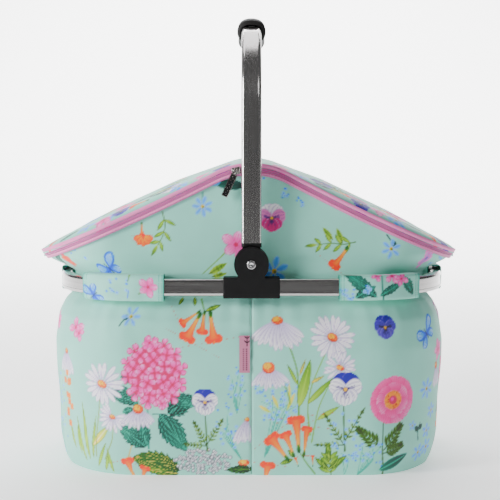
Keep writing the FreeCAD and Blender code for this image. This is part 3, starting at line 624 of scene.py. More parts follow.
# %% The lower left panel
def print_lower_left(p):
    for x, y, a, n, w in ((-199, 14, 94, 68, 5), (-206, 12, 100, 52, 4), (-193, 18, 80, 50, 4), (-212, 20, 96, 34, 4),
                          (-188, 8, 62, 34, 4), (-178, 4, 70, 24, 4), (-168, 2, 96, 30, 4), (-222, 24, 104, 34, 4)):
        blade(p, x, y, a, n, w, GREEN * 0.5 + PALE_GREEN * 0.5)
    p.petal(-191, 32, 47, 34, 9, PALE_GREEN, CREAM, rim=GREEN, fat=0.5, point=0.8, veins=1, vein=WHITE)
    p.stem([(-188, 20), (-182, 60), (-176, 96)], 1.3, PALE_GREEN * 0.8)
    p.stem([(-176, 18), (-164, 40), (-162, 62)], 1.3, PALE_GREEN * 0.8)
    p.stem([(-146, 22), (-138, 44), (-132, 70)], 1.3, CREAM * 0.85)
    p.stem([(-121, 33), (-121, 62), (-121, 94)], 1.8, TEAL * 0.7 + LIGHT_TEAL * 0.3)
    p.stem([(-121, 84), (-116, 90), (-110, 90)], 1.2, TEAL)
    leaf(p, -131, 84, 158, 40, 15, TEAL, DARK_TEAL)
    leaf(p, -134, 86, 128, 24, 10)
    leaf(p, -139, 124, 250, 19, 17, DARK_TEAL, TEAL)
    leaf(p, -134, 112, 150, 15, 13, DARK_TEAL, TEAL)
    leaf(p, -124, 35, 143, 40, 21, TEAL, DARK_TEAL)
    leaf(p, -123, 36, 103, 32, 17, TEAL, DARK_TEAL)
    leaf(p, -150, 74, 20, 14, 9, DARK_TEAL, TEAL, teeth=5)
    leaf(p, -97, 72, 38, 36, 25, DARK_TEAL, DARK_TEAL * 0.8)
    leaf(p, -92, 92, -22, 28, 19, TEAL, DARK_TEAL)
    p.stem([(-115, 72), (-106, 72)], 1.2, TEAL)
    leaf(p, -107, 72, -54, 52, 30, TEAL, DARK_TEAL, teeth=8)
    hydrangea(p, -111, 119, 32, 35)
    star(p, -104, 84, 8, 70)
    star(p, -116, 153, 9, 100)
    p.petal(-84, 8, 166, 58, 32, DARK_GREEN * 0.6 + GREEN * 0.4, DARK_GREEN, rim=DARK_GREEN, fat=0.5, point=0.7, veins=4,
            vein=CREAM, teeth=8)
    leaf(p, -88, 2, 172, 40, 13, GREEN, DARK_GREEN, CREAM)
    trumpet(p, -142, -4, 104, 26, 18)
    trumpet(p, -133, -6, 70, 18, 14)
    lace(p, -57, 17, 35, 15)
    p.stem([(-52, 30), (-53, 50), (-54, 74)], 1.7, OLIVE)
    feather(p, -53, 36, 118, 32, OLIVE)
    feather(p, -52, 38, 57, 34, OLIVE)
    feather(p, -54, 36, 176, 26, OLIVE, size=5)
    pansy(p, -54, 86, 16)
    daisy(p, -173, 105, 24, lean=(0.4, 0.6))
    coneflower(p, -229, 137, 28, 215, 315, 6, 6, 7)
    daisy(p, -163, 68, 18, 100, 380, 13, middle=0.42)
    coneflower(p, -132, 78, 21, 190, 350, 9, 12, 11)
    berries(p, -232, 97, 7, 15, 21)
    berries(p, -229, 62, 6, 16, 22)
    spray(p, -262, 60, 22, 48, 34, 31, 7, (-262, 0))
    spray(p, -18, 100, 12, 26, 24, 32, 5, (-17, 74))
    spray(p, -29, 56, 12, 24, 20, 33, 7, (-12, 20))
    coneflower(p, -5, 66, 27, 215, 285, 5, 6, 5)
    heart(p, -9, 16, 14, 8)
    leaf(p, 2, 8, 182, 32, 12, DARK_GREEN, DARK_GREEN * 0.7, GREEN)
    p.stem([(-61, 200), (-58, 194), (-55, 188)], 1.6, GREEN)
    leaf(p, -54, 188, 20, 18, 5, GREEN, OLIVE, PALE_GREEN, teeth=0)
    leaf(p, -70, 202, -72, 9, 4, GREEN, OLIVE, PALE_GREEN, teeth=0)
    leaf(p, -84, 202, 250, 8, 4, GREEN, OLIVE, PALE_GREEN, teeth=0)
    trumpet(p, -62, 187, 215, 25, 13)
    trumpet(p, -60, 184, 242, 33, 22)
    trumpet(p, -55, 186, 266, 24, 15)
    trumpet(p, -48, 186, 280, 34, 22)
    star(p, -212, 166, 14, 100)
    star(p, -206, 160, 10, 20)
    p.stem([(-152, 172), (-148, 178), (-143, 181)], 1.4, DARK_TEAL)
    p.disc(-146, 181, 3, DARK_TEAL)
    blue_flower(p, -140, 182, 12, 60, 6, 0.36)
    daisy(p, -292, 92, 23)
    p.stem([(-292, 0), (-290, 40), (-292, 74)], 1.4, GREEN)
    leaf(p, -300, 20, 60, 44, 18)
    star(p, -262, 168, 13, 30, 5)
    butterfly(p, -304, 152, 19, 40)
    leaf(p, -322, 6, 118, 40, 18)
    daisy(p, -322, 62, 17)


# %% The lower right panel
def print_lower_right(p):
    spray(p, 28, 84, 26, 22, 66, 41, 8, (14, 18))
    for x, y, a, n, w in ((31, 78, 115, 18, 4), (40, 76, 66, 22, 4), (22, 74, 150, 16, 4), (44, 88, 96, 20, 3)):
        p.petal(x, y, a, n, w, CREAM, PALE_GREEN, fat=0.5, point=0.8)
    p.stem([(55, 40), (54, 84), (52, 122), (39, 158)], 1.7, GREEN, taper=0.7)
    p.stem([(68, 48), (64, 80), (68, 105), (87, 150)], 1.6, GREEN * 0.6 + PALE_GREEN * 0.4)
    p.stem([(44, 84), (40, 100), (33, 110)], 1.3, GREEN)
    p.stem([(70, 40), (77, 80), (90, 108)], 1.4, GREEN * 0.6 + PALE_GREEN * 0.4)
    blade(p, 54, 80, 77, 56, 12)
    blade(p, 64, 84, 45, 42, 7)
    blade(p, 76, 66, 30, 30, 6, GREEN * 0.5 + PALE_GREEN * 0.5)
    blade(p, 52, 106, 118, 26, 4)
    blade(p, 54, 116, 70, 20, 3, PALE_GREEN * 0.8, CREAM)
    blade(p, 68, 108, 28, 16, 4, PALE_GREEN * 0.8, CREAM)
    coneflower(p, 29, 178, 31, 182, 360, 12, 13, 9)
    daisy(p, 92, 159, 25, lean=(0.2, 0.5), petals=19)
    coneflower(p, 19, 125, 23, 205, 352, 9, 14, 13)
    daisy(p, 101, 125, 18, middle=0.56, flat=0.6)
    p.stem([(110, 30), (108, 60), (107, 86)], 1.9, OLIVE)
    feather(p, 108, 38, 124, 42, OLIVE)
    feather(p, 109, 40, 60, 44, OLIVE)
    feather(p, 108, 37, 180, 34, OLIVE, size=5)
    spray(p, 112, 52, 20, 22, 18, 42)
    pansy(p, 108, 101, 20)
    p.stem([(160, 0), (154, 30), (154, 62)], 1.8, OLIVE)
    feather(p, 152, 34, 142, 36, OLIVE * 0.9, GREEN, 11)
    feather(p, 156, 30, 52, 36, OLIVE * 0.9, GREEN, 11)
    feather(p, 156, 26, 20, 26, OLIVE * 0.9, GREEN, 10)
    peony(p, 165, 87, 29)
    spray(p, 138, 24, 18, 14, 26, 43, 8, (128, 0))
    spray(p, 112, 22, 9, 6, 14, 44, 2, (112, 0))
    leaf(p, 154, 6, 25, 39, 13, DARK_TEAL, TEAL, LIGHT_TEAL, teeth=0, veins=1)
    sprig(p, [(96, 0), (93, 10), (92, 22)], 18)
    leaf(p, 92, 16, 98, 24, 7, GREEN, OLIVE, PALE_GREEN, teeth=0)
    leaf(p, 92, 8, 38, 26, 8, GREEN, OLIVE, PALE_GREEN, teeth=0)
    leaf(p, 92, 8, 142, 22, 7, GREEN, OLIVE, PALE_GREEN, teeth=0)
    p.stem([(76, 2), (64, 16), (55, 30)], 1.7, GREEN)
    leaf(p, 48, 20, 200, 16, 6, GREEN, OLIVE, PALE_GREEN, teeth=0)
    leaf(p, 50, 22, 130, 12, 5, GREEN, OLIVE, PALE_GREEN, teeth=0)
    trumpet(p, 42, 20, 128, 36, 22)
    trumpet(p, 49, 25, 113, 30, 17)
    trumpet(p, 61, 25, 84, 36, 15)
    trumpet(p, 55, 30, 96, 42, 23)
    trumpet(p, 72, 14, 92, 11, 6, 1)
    trumpet(p, 54, 14, 110, 9, 6, 1)
    trumpet(p, 16, -8, 82, 24, 20)
    pansy(p, 154, 170, 14, VIOLET, rgb("6a5cb8"), rgb("7d6fc4"), BLACK, rgb("b7b0e2"))
    butterfly(p, 214, 158, 24, 66)
    blue_flower(p, 216, 94, 13, 80, 7, 0.34)
    blue_flower(p, 210, 20, 11, 20, 6, 0.4)
    blue_flower(p, 226, 24, 11, 50, 6, 0.4)
    blue_flower(p, 222, 44, 9, 10, 5, 0.5)
    blue_flower(p, 232, 66, 10, 30, 6, 0.4)
    p.stem([(206, 36), (204, 48), (208, 56)], 1.3, DARK_TEAL)
    leaf(p, 205, 46, 130, 9, 6, DARK_TEAL, DARK_TEAL, TEAL, teeth=0)
    leaf(p, 206, 48, 50, 8, 6, DARK_TEAL, DARK_TEAL, TEAL, teeth=0)
    blue_flower(p, 195, 54, 6, 10, 5, 0.5)
    coneflower(p, 238, 118, 24, 240, 320, 5, 8, 8)
    star(p, 244, 136, 14, 40, 5)
    hydrangea(p, 286, 110, 27, 30)
    leaf(p, 276, 78, 220, 30, 16)
    leaf(p, 292, 76, -40, 34, 18)
    p.stem([(284, 0), (285, 40), (286, 80)], 1.8, TEAL)
    leaf(p, 260, 2, 70, 44, 18)
    berries(p, 262, 54, 6, 18, 51)
    spray(p, 314, 30, 16, 24, 34, 45, 8, (314, 0))
    star(p, 312, 172, 12, 60, 5)
    pansy(p, 268, 178, 12, rgb("b04a9c"), WHITE, rgb("d98cc4"))


# %% The upper panels, the roof and the loops
def print_upper_left(p):
    p.stem([(-57, 322), (-57, 308)], 1.2, TEAL)
    blue_flower(p, -57, 306, 12.5, 75, 7, 0.4)
    leaf(p, -8, 330, 176, 36, 12, TEAL, DARK_TEAL, DARK_TEAL, teeth=0, veins=1)
    p.petal(-46, 330, 30, 12, 6, SKY)
    trumpet(p, -128, 285, 272, 13, 9, 1)
    for a in (200, 235, 270, 305, 340):
        p.petal(-126, 272, a, 12, 7, ORANGE, YELLOW, rim=RED, fat=0.6, point=0.5)
    p.disc(-126, 273, 2, RED)
    sprig(p, [(-104, 300), (-100, 285), (-103, 272), (-109, 262)], 15, pairs=3)
    p.stem([(-27, 256), (-40, 244), (-60, 229)], 1.3, GREEN, light=PALE_GREEN)
    leaf(p, -52, 229, 28, 26, 8, GREEN, PALE_GREEN, OLIVE, teeth=5)
    leaf(p, -48, 226, 12, 18, 6, GREEN, PALE_GREEN, OLIVE, teeth=4)
    star(p, -18, 262, 19, 75, 5)
    butterfly(p, -175, 234, 23, 64)
    spray(p, -212, 250, 14, 8, 6, 61)
    star(p, -236, 240, 9, 30, 5, rgb("f9b27a"), RED, RED)
    leaf(p, -262, 232, 40, 24, 9)
    blue_flower(p, -300, 236, 9, 20, 6, 0.45)


def print_upper_right(p):
    pansy(p, 23, 293, 17, WHITE, rgb("e6a9cf"), rgb("cf4f97"), rgb("4a2a78"), rgb("e9dcf0"))
    spray(p, 38, 319, 4, 8, 9, 71)
    spray(p, 54, 312, 5, 6, 8, 72)
    spray(p, 14, 340, 6, 4, 4, 73)
    sprig(p, [(121, 265), (108, 262), (92, 264), (76, 262)], 15, pairs=4)
    leaf(p, 106, 264, 112, 18, 6, GREEN, PALE_GREEN, OLIVE, teeth=0)
    leaf(p, 94, 268, 130, 18, 6, GREEN, PALE_GREEN, OLIVE, teeth=0)
    trumpet(p, 111, 258, 238, 26, 19)
    p.stem([(158, 273), (163, 266), (165, 262)], 1.5, DARK_TEAL)
    p.disc(166, 263, 3.2, DARK_TEAL)
    blue_flower(p, 163, 257, 12, 20, 6, 0.4)
    star(p, 219, 243, 12, 60, 5, PALE_PINK, PINK, VIOLET)
    blue_flower(p, 27, 232, 17, 82, 6, 0.42)
    spray(p, 252, 238, 20, 6, 16, 74)
    star(p, 296, 234, 9, 40, 5)


def lid_edge_y(x):
    """Half the lid's width at a distance x from the middle."""
    return 19.5 + math.sqrt(98 ** 2 - max(0, x - 158) ** 2)


def print_roof(p, side):
    """The lid's print lies along the slope; side is -1 on the left and 1 on the right."""
    rng = np.random.default_rng(90 + side)
    for k in range(3):
        for row in range(-3, 4):
            x = side * (34 + 70 * k + rng.uniform(-12, 12))
            y = row * 34 + rng.uniform(-8, 8)
            kind = (k * 3 + row + (side > 0)) % 6
            if kind == 0:
                pansy(p, x, y, 15)
            elif kind == 1:
                sprig(p, [(x - 12, y), (x, y + 4), (x + 12, y)], 14)
            elif kind == 2:
                star(p, x, y, 14, rng.uniform(0, 90), 5)
            elif kind == 3:
                blue_flower(p, x, y, 12)
            elif kind == 4:
                trumpet(p, x - 10, y, 20, 26, 18)
            else:
                spray(p, x, y, 12, 8, 14, 95 + row)
    if side > 0:
        pansy(p, 84, -92, 15, VIOLET, rgb("5b4fb0"), rgb("6f63c0"), BLACK, LILAC)
        sprig(p, [(96, -96), (110, -84), (124, -88)], 13, OLIVE)
        pansy(p, 128, -92, 14, rgb("b04a9c"), rgb("e6a9cf"), rgb("cf4f97"), rgb("4a2a78"))
        trumpet(p, 146, -84, 12, 28, 18)
        star(p, 178, -74, 16, 20, 5)
        spray(p, 208, -48, 14, 16, 22, 97)
        leaf(p, 222, -22, 60, 30, 12, GREEN, OLIVE, PALE_GREEN, teeth=0)
    else:
        leaf(p, -50, -100, 20, 30, 10)
        blade(p, -92, -96, 160, 30, 6)
        leaf(p, -112, -94, 172, 32, 9, TEAL, DARK_TEAL, LIGHT_TEAL, teeth=0)
        star(p, -150, -80, 15, 60, 5)
    edge = (34, 58, 84, 106, 130, 152, 172, 192, 212, 230)
    for k, x in enumerate(edge):
        y = -(lid_edge_y(x) - 9 - 5 * (k % 2))
        kind = (k + (side > 0)) % 5
        if kind == 0:
            pansy(p, side * x, y, 12, VIOLET, rgb("5b4fb0"), rgb("6f63c0"), BLACK, LILAC)
        elif kind == 1:
            star(p, side * x, y, 13, 40 * k, 5)
        elif kind == 2:
            blue_flower(p, side * x, y, 12)
        elif kind == 3:
            leaf(p, side * (x - 10), y, 10 if side > 0 else 170, 24, 9, TEAL, DARK_TEAL, LIGHT_TEAL, teeth=0)
        else:
            trumpet(p, side * (x - 9), y, 12 if side > 0 else 168, 20, 15)
        butterfly(p, -190, -62, 18, 30)
        star(p, -222, -20, 12, 10, 5, rgb("f6c27a"), ORANGE, ORANGE)


def print_loop(p, side):
    if side < 0:
        spray(p, -150, 215, 18, 10, 12, 81)
        p.stem([(-138, 230), (-140, 222)], 1.4, GREEN)
        p.stem([(-140, 204), (-139, 212)], 1.2, BLUE)
        p.stem([(-128, 208), (-120, 214)], 1.0, GREEN)
        star(p, -117, 216, 13, 70, 5)
        butterfly(p, -182, 205, 20, 158)
    else:
        leaf(p, 142, 204, 140, 52, 17, TEAL, DARK_TEAL, LIGHT_TEAL, teeth=8)
        leaf(p, 118, 204, 30, 26, 12, TEAL, DARK_TEAL, LIGHT_TEAL, teeth=6)
        leaf(p, 146, 206, 28, 30, 10, TEAL, DARK_TEAL, LIGHT_TEAL, teeth=6)
        leaf(p, 176, 226, -60, 24, 14, DARK_TEAL, TEAL, LIGHT_TEAL, teeth=6)
        p.stem([(150, 200), (148, 214), (148, 230)], 1.8, TEAL)
        star(p, 160, 228, 11, 40, 4)
        star(p, 172, 224, 10, 70, 4)
        star(p, 142, 229, 8, 20, 4)
        spray(p, 108, 208, 8, 7, 14, 82)
        spray(p, 134, 214, 6, 5, 8, 83)


# %% [markdown]
# ## The bag's form
# Seen from above, the bag is a rounded rectangle at every height. A point of the cloth is found from how far round it
# lies (s, from the front seam) and its height. The ring pinches the bag into a neck; below it the cloth bellies out.

# %% Form of the lower bag
FRONT, BEND, END = 134.5, 160.2, 40.3          # straight front, corner and half of the end, along the cloth
QUARTER = FRONT + BEND + END
HEIGHTS = [0, 3, 10, 20, 34, 70, 106, 145, 177, 193, 201, 260]
LENGTHS = [219, 222, 224.5, 227, 229.5, 231.5, 234.5, 236.5, 232.4, 224, 213.9, 213.9]
DEPTHS = [129, 132, 134.5, 137, 139.5, 141, 142.3, 142.3, 139.0, 132.2, 123.9, 123.9]
RIGHT_SHARE = 0.972   # the soft bag sits a little short of the ring at its right end
table_z = np.arange(-10, 262, 1.0)
window = np.hanning(15)[1:-1]
window /= window.sum()


def softened(values):
    return np.convolve(np.pad(np.interp(table_z, HEIGHTS, values), 6, mode="edge"), window, mode="valid")


length_table, depth_table = softened(LENGTHS), softened(DEPTHS)


def round_plan(s, half_x, half_y, end_flat):
    """Place on a rounded rectangle, and the outward direction there, for a distance s round the cloth."""
    side = np.where(s < 0, -1.0, 1.0)
    a = np.abs(s)
    corner = half_y - end_flat
    turn = np.clip((a - FRONT) / BEND, 0, 1) * math.pi / 2
    x = (half_x - corner) * np.clip(a / FRONT, 0, 1) + corner * np.sin(turn)
    y = -end_flat * (1 - np.clip((a - FRONT - BEND) / END, 0, 1)) - corner * np.cos(turn)
    return side * x, y, side * np.sin(turn), -np.cos(turn)


def ripple(s, z):
    """The unevenness of sewn cloth, in millimetres."""
    return (0.5 * np.sin(s / 23 + 1.3 * np.sin(z / 31)) * np.sin(z / 27 + 0.7) + 0.35 * np.sin(s / 11 + z / 17)
            * np.sin(z / 41 + s / 53) + 0.5 * np.sin(z / 9 + s / 60) * np.exp(-((z - 12) / 16) ** 2))


def on_lower(s, z, out=0.0):
    half_x = np.interp(z, table_z, length_table)
    half_y = np.interp(z, table_z, depth_table)
    x, y, nx, ny = round_plan(s, half_x, half_y, 40.3 * half_y / 142.3)
    gather = np.clip((z - 150) / 45, 0, 1) * 0.7 * np.sin(s / 3.9 + 2 * np.sin(s / 29))
    seam = -1.1 * np.exp(-(s / 2.2) ** 2) - 0.5 * np.exp(-(s / 9.0) ** 2) * (1 + np.sin(z / 3.1))
    move = ripple(s, z) + gather * 0.6 + seam + out
    return np.stack([x + nx * move, y + ny * move, z], 1) * MM


def panel(name, columns, rows, place, painter, thickness, material=None, body="root",
          region=None, offset=-1.0, ground=MINT):
    """Cut a flat panel, print it, move it onto the form and give it its thickness."""
    obj = grid(name, columns, rows)
    co = vertices(obj)
    a, b = region(co[:, 0], co[:, 1])
    flat_map(obj, a, b)
    if painter is not None:
        p = Print(np.where(a > 0, a * RIGHT_SHARE, a), b, ground)
        painter(p)
        paint(obj, p.c)
    set_vertices(obj, place(a, b))
    obj["flat_area"] = sum(f.area for f in obj.data.polygons)
    thicken(obj, thickness * MM, offset)
    outwards(obj)
    return finish_piece(obj, material or fabric, body)


# %% The four lower panels
LOWER_TOP = 208.0
lower = {}
for side, name, painter in ((-1, "left", print_lower_left), (1, "right", print_lower_right)):
    def region(u, v, side=side):
        share = u if side > 0 else 1 - u
        return side * (0.25 + share * (QUARTER - 0.4)), v * LOWER_TOP
    lower[name] = panel("body_front_" + name, 262, 164, on_lower, painter, 1.2, region=region)
lower["rear_right"] = half_turned(lower["left"], "body_rear_right")
lower["rear_left"] = half_turned(lower["right"], "body_rear_left")
for piece in (lower["rear_right"], lower["rear_left"]):
    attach(piece, "root")
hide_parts("bag_side_left")
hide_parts("bag_side_right")

# %% [markdown]
# ## The lid's line
# The zip runs round the lid. From the front its line is a rounded crown in the middle that runs into a hollow slope to
# each end. The straight roof line lies a little higher.

# %% Zip line and roof line
LID_X, LID_Y, LID_FLAT = 256.0, 117.5, 19.5
LID_CORNER = LID_Y - LID_FLAT
CROWN_Z, CROWN_R, CROWN_TURN = 264.0, 92.0, math.radians(27)
ZIP_END_Z, ROOF_END_Z, ROOF_TOP = 249.0, 251.5, 93.0
leave = np.array([math.sin(CROWN_TURN), math.cos(CROWN_TURN)])
zip_end = np.array([LID_X, ZIP_END_Z - CROWN_Z])
reach = zip_end - leave * CROWN_R
SLOPE_R = (reach @ reach) / (2 * (zip_end @ leave - CROWN_R))
slope_x, slope_z = leave * (CROWN_R + SLOPE_R) + [0, CROWN_Z]
roof_end = np.array([LID_X, ROOF_END_Z - CROWN_Z])
roof_turn = math.atan2(*roof_end) - math.acos(ROOF_TOP / math.hypot(*roof_end))
ROOF_SLOPE_X = ROOF_TOP * math.sin(roof_turn)


def zip_height(x):
    a = np.abs(x)
    crown = CROWN_Z + np.sqrt(np.clip(CROWN_R ** 2 - a ** 2, 0, None))
    slope = slope_z - np.sqrt(SLOPE_R ** 2 - (slope_x - a) ** 2)
    return np.where(a < CROWN_R * leave[0], crown, slope)


def roof_height(x):
    a = np.abs(x)
    crown = CROWN_Z + np.sqrt(np.clip(ROOF_TOP ** 2 - a ** 2, 0, None))
    start = CROWN_Z + ROOF_TOP * math.cos(roof_turn)
    return np.where(a < ROOF_SLOPE_X, crown, start - (a - ROOF_SLOPE_X) * math.tan(roof_turn))


def lid_plan(s, out=0.0):
    """The lid's outline from the middle of the front (s = 0) to the middle of the end, and its outward direction."""
    straight, bend = LID_X - LID_CORNER, LID_CORNER * math.pi / 2
    side = np.where(s < 0, -1.0, 1.0)
    a = np.abs(s)
    turn = np.clip((a - straight) / LID_CORNER, 0, math.pi / 2)
    x = np.clip(a, 0, straight) + LID_CORNER * np.sin(turn)
    y = -LID_FLAT + np.clip(a - straight - bend, 0, None) - LID_CORNER * np.cos(turn)
    nx, ny = np.sin(turn), -np.cos(turn)
    return side * (x + nx * out), y + ny * out, side * nx, ny


LID_QUARTER = (LID_X - LID_CORNER) + LID_CORNER * math.pi / 2 + LID_FLAT
print("lid quarter", round(LID_QUARTER, 1), "zip at the end", float(zip_height(LID_X)))

# %% The four upper panels
TILT = 8.0          # how far the zip band leans out over the body at the ends


def on_upper(s, share):
    """share runs from the neck inside the ring (0) to just under the zip (1)."""
    lid_s = s * LID_QUARTER / QUARTER
    lx, ly, nx, ny = lid_plan(lid_s)
    inset = 1.4 + TILT * nx ** 2
    lx, ly = lx - nx * inset, ly - ny * inset
    top = zip_height(lx) - 12.6
    z = 206 + (top - 206) * share
    neck_x, neck_y, _, _ = round_plan(s, 213.9, 123.9, 35.0)
    reach = np.minimum(top, 252)
    t = np.clip((z - 224) / (reach - 224), 0, 1)
    t = t * t * (3 - 2 * t)
    x, y = neck_x + (lx - neck_x) * t, neck_y + (ly - neck_y) * t
    swell = np.sin(np.pi * np.clip((z - 235) / np.maximum(top - 235, 1), 0, 1)) * np.clip((top - 262) / 50, 0, 1)
    move = 1.6 * swell + ripple(s + 40, z) * 0.9 * np.clip((z - 212) / 20, 0, 1)
    return np.stack([x + nx * move, y + ny * move, z], 1) * MM


def upper_region(side):
    def region(u, v):
        s = side * (0.2 + (u if side > 0 else 1 - u) * (QUARTER - 0.3))
        x, _, _, _ = lid_plan(s * LID_QUARTER / QUARTER)
        return s, 206 + (zip_height(x) - 218.6) * v
    return region


def place_upper(s, z):
    x, _, _, _ = lid_plan(s * LID_QUARTER / QUARTER)
    return on_upper(s, (z - 206) / (zip_height(x) - 218.6))


upper = {}
for side, name, painter in ((-1, "left", print_upper_left), (1, "right", print_upper_right)):
    upper[name] = panel("collar_front_" + name, 250, 100, place_upper, painter, 1.2, region=upper_region(side))
upper["rear_right"] = half_turned(upper["left"], "collar_rear_right")
upper["rear_left"] = half_turned(upper["right"], "collar_rear_left")
for piece in (upper["rear_right"], upper["rear_left"]):
    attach(piece, "root")

# %% The bottom panel
bpy.ops.mesh.primitive_circle_add(vertices=160, radius=1, fill_type="TRIFAN")
base = bpy.context.object
base.name = "base_panel"
co = vertices(base)
rim = np.hypot(co[:, 0], co[:, 1]) > 0.5
angle = np.arctan2(co[:, 0], -co[:, 1])
quarter_turn = np.where(np.abs(angle) > math.pi / 2, math.pi - np.abs(angle), np.abs(angle)) / (math.pi / 2)
bx, by, _, _ = round_plan(quarter_turn * QUARTER, 218.5, 128.5, 36.5)
place = np.zeros_like(co)
place[rim, 0] = (np.sign(angle) * bx)[rim]
place[rim, 1] = np.where(np.abs(angle) > math.pi / 2, -by, by)[rim]
place[:, 2] = 1.2
set_vertices(base, place * MM)
only(base)
bpy.ops.object.mode_set(mode="EDIT")
bpy.ops.mesh.select_all(action="SELECT")
for _ in range(2):
    bpy.ops.mesh.subdivide()
bpy.ops.object.mode_set(mode="OBJECT")
co = vertices(base) / MM
flat_map(base, co[:, 0], co[:, 1])
p = Print(co[:, 0], co[:, 1], MINT * 0.9)
paint(base, p.c)
thicken(base, 1.1 * MM, -1)
outwards(base)
finish_piece(base, fabric, "root")
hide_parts("bag_bottom")

# %% [markdown]
# ## The padded roof
# Each half of the roof is one printed panel over foam. It starts at the zip, rounds over the edge and lies on the roof
# line. It is drawn on a grid whose columns crowd towards the lid's round end, so that the edge stays smooth.

# %% Roof halves and their lining
def lid_width(x):
    return LID_FLAT + np.sqrt(np.clip(LID_CORNER ** 2 - np.clip(x - (LID_X - LID_CORNER), 0, None) ** 2, 0, None))


def roof_surface(side, drop, inset, skirt):
    """Grid shares to places: u from the middle to the end, v from front to rear. The last rows turn down as a skirt."""
    def place(u, v):
        straight = LID_X - LID_CORNER
        k = 0.965
        uu, down_end = np.clip(u / k, 0, 1), np.clip((u - k) / (1 - k), 0, 1)
        split = straight / (straight + LID_CORNER * math.pi / 2 * 0.8)
        x = np.where(uu < split, uu / split * straight,
                     straight + LID_CORNER * np.sin(np.clip((uu - split) / (1 - split), 0, 1) * math.pi / 2))
        t = (v - 0.5) * 2 / k
        down_side = np.clip((np.abs(v - 0.5) * 2 - k) / (1 - k), 0, 1)
        half = lid_width(x)
        y = np.clip(t, -1, 1) * half
        qx, qy = x - (LID_X - LID_CORNER), np.abs(y) - LID_FLAT
        d = LID_CORNER - np.where((qx > 0) & (qy > 0), np.hypot(qx, qy), np.maximum(qx, qy))
        edge = np.sqrt(np.clip(1 - (1 - np.clip(d / 15.0, 0, 1)) ** 2, 0, 1))
        low, high = zip_height(x), roof_height(x)
        slope = np.clip((x - 35) / 60, 0, 1) * np.clip((240 - x) / 70, 0, 1)
        puff = (1.5 + 4.5 * slope) * np.clip(d / 50, 0, 1) + 0.5 * np.sin(x / 19 + y / 23) * np.clip(d / 30, 0, 1)
        z = low - 0.6 + (high - low + 1.0) * edge + puff * edge - drop
        scale_x, scale_y = (LID_X - inset) / LID_X, (LID_Y - inset) / LID_Y
        z = z - skirt * np.maximum(down_side, down_end)
        return np.stack([side * x * scale_x, y * scale_y, z], 1)
    return place


def lid_half(name, side, columns, rows, drop, inset, skirt, thickness, painter, material):
    obj = grid(name, columns, rows)
    co = vertices(obj)
    u = co[:, 0] if side > 0 else 1 - co[:, 0]
    place = roof_surface(side, drop, inset, skirt)(u, co[:, 1])
    flat_map(obj, place[:, 0], place[:, 1])
    if painter:
        p = Print(place[:, 0], place[:, 1])
        painter(p, side)
        paint(obj, p.c)
    set_vertices(obj, place * MM)
    obj["flat_area"] = sum(f.area for f in obj.data.polygons)
    thicken(obj, thickness * MM, -1)
    outwards(obj)
    weld(obj)
    finish_piece(obj, material, None, 60)
    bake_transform(obj)
    return obj


roof, ceiling = {}, {}
for side, name in ((-1, "left"), (1, "right")):
    roof[name] = lid_half("roof_" + name, side, 190, 150, 0.0, 0.3, 5.0, 5.0, print_roof, fabric)
    ceiling[name] = lid_half("lid_lining_sheet_" + name, side, 60, 48, 6.4, 6.8, 2.0, 0.6, None, foil)
    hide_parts("lid_panel_" + name)
    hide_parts("lid_lining_" + name)
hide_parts("lid_panel_ridge")
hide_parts("lid_lining_ridge")

# %% [markdown]
# ## The zip
# The zip is two pink tapes with a coil between them, sewn round the lid's edge. Each part is a ribbon: a small rounded
# profile carried round the lid's outline, its height following the zip line. Dark grooves lie between the ribbons.

# %% Ribbons
def ribbon(name, profile, s_from, s_to, columns, colour, body, slot, blend_to=None, side=0, rear=False, grooves=()):
    """profile is a closed loop of (height above the zip line, distance out). s counts round the lid from the front."""
    points = np.array(profile, float)
    count = len(points)
    obj = grid(name, columns, count)
    co = vertices(obj)
    s = s_from + (s_to - s_from) * co[:, 0]
    k = co[:, 1] * count
    loop = np.vstack([points, points[:1]])
    rise = np.interp(k, range(count + 1), loop[:, 0])
    out = np.interp(k, range(count + 1), loop[:, 1])
    total = 2 * LID_QUARTER
    a = np.abs(s)
    back = a > LID_QUARTER
    folded = np.where(back, total - a, a)
    x, y, nx, ny = lid_plan(folded, 0)
    ny = np.where(back, -ny, ny)
    y = np.where(back, -y, y)
    way = np.sign(s_from + s_to)
    lift = 0.12 * np.sin(s / 7.0) * np.sin(s / 31.0)
    lean = out + lift + TILT * np.abs(nx) ** 2 * rise / 14
    x, y = way * (x + nx * lean), y + ny * lean
    z = zip_height(x) + rise
    flat_map(obj, s, rise + out)
    shade = np.ones(len(s))
    # painted shade: each groove line darkens the tape's colour along the ribbon
    for at, wide, dark in grooves:
        shade *= 1 - dark * np.exp(-((rise - at) / wide) ** 2)
    tone = 1 - 0.05 * (np.sin(s * 2.2) * 0.5 + 0.5) * (rise < -9)
    paint(obj, colour[None, :] * (shade * tone)[:, None])
    set_vertices(obj, np.stack([x, y, z], 1) * MM)
    weld(obj)
    only(obj)
    bpy.ops.object.mode_set(mode="EDIT")
    bpy.ops.mesh.select_all(action="DESELECT")
    bpy.ops.mesh.select_non_manifold()
    bpy.ops.mesh.fill_holes(sides=0)
    bpy.ops.object.mode_set(mode="OBJECT")
    outwards(obj)
    finish_piece(obj, webbing, None if blend_to else body, 50)
    if blend_to:
        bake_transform(obj)
    return obj


def rounded(low, high, inner, outer, swell=0.4):
    """A flat-backed profile with a rounded front."""
    middle = (low + high) / 2
    return [(low, inner), (low, outer - swell), (low + 0.15 * (high - low), outer - 0.15 * swell), (middle, outer),
            (high - 0.15 * (high - low), outer - 0.15 * swell), (high, outer - swell), (high, inner), (middle, inner)]


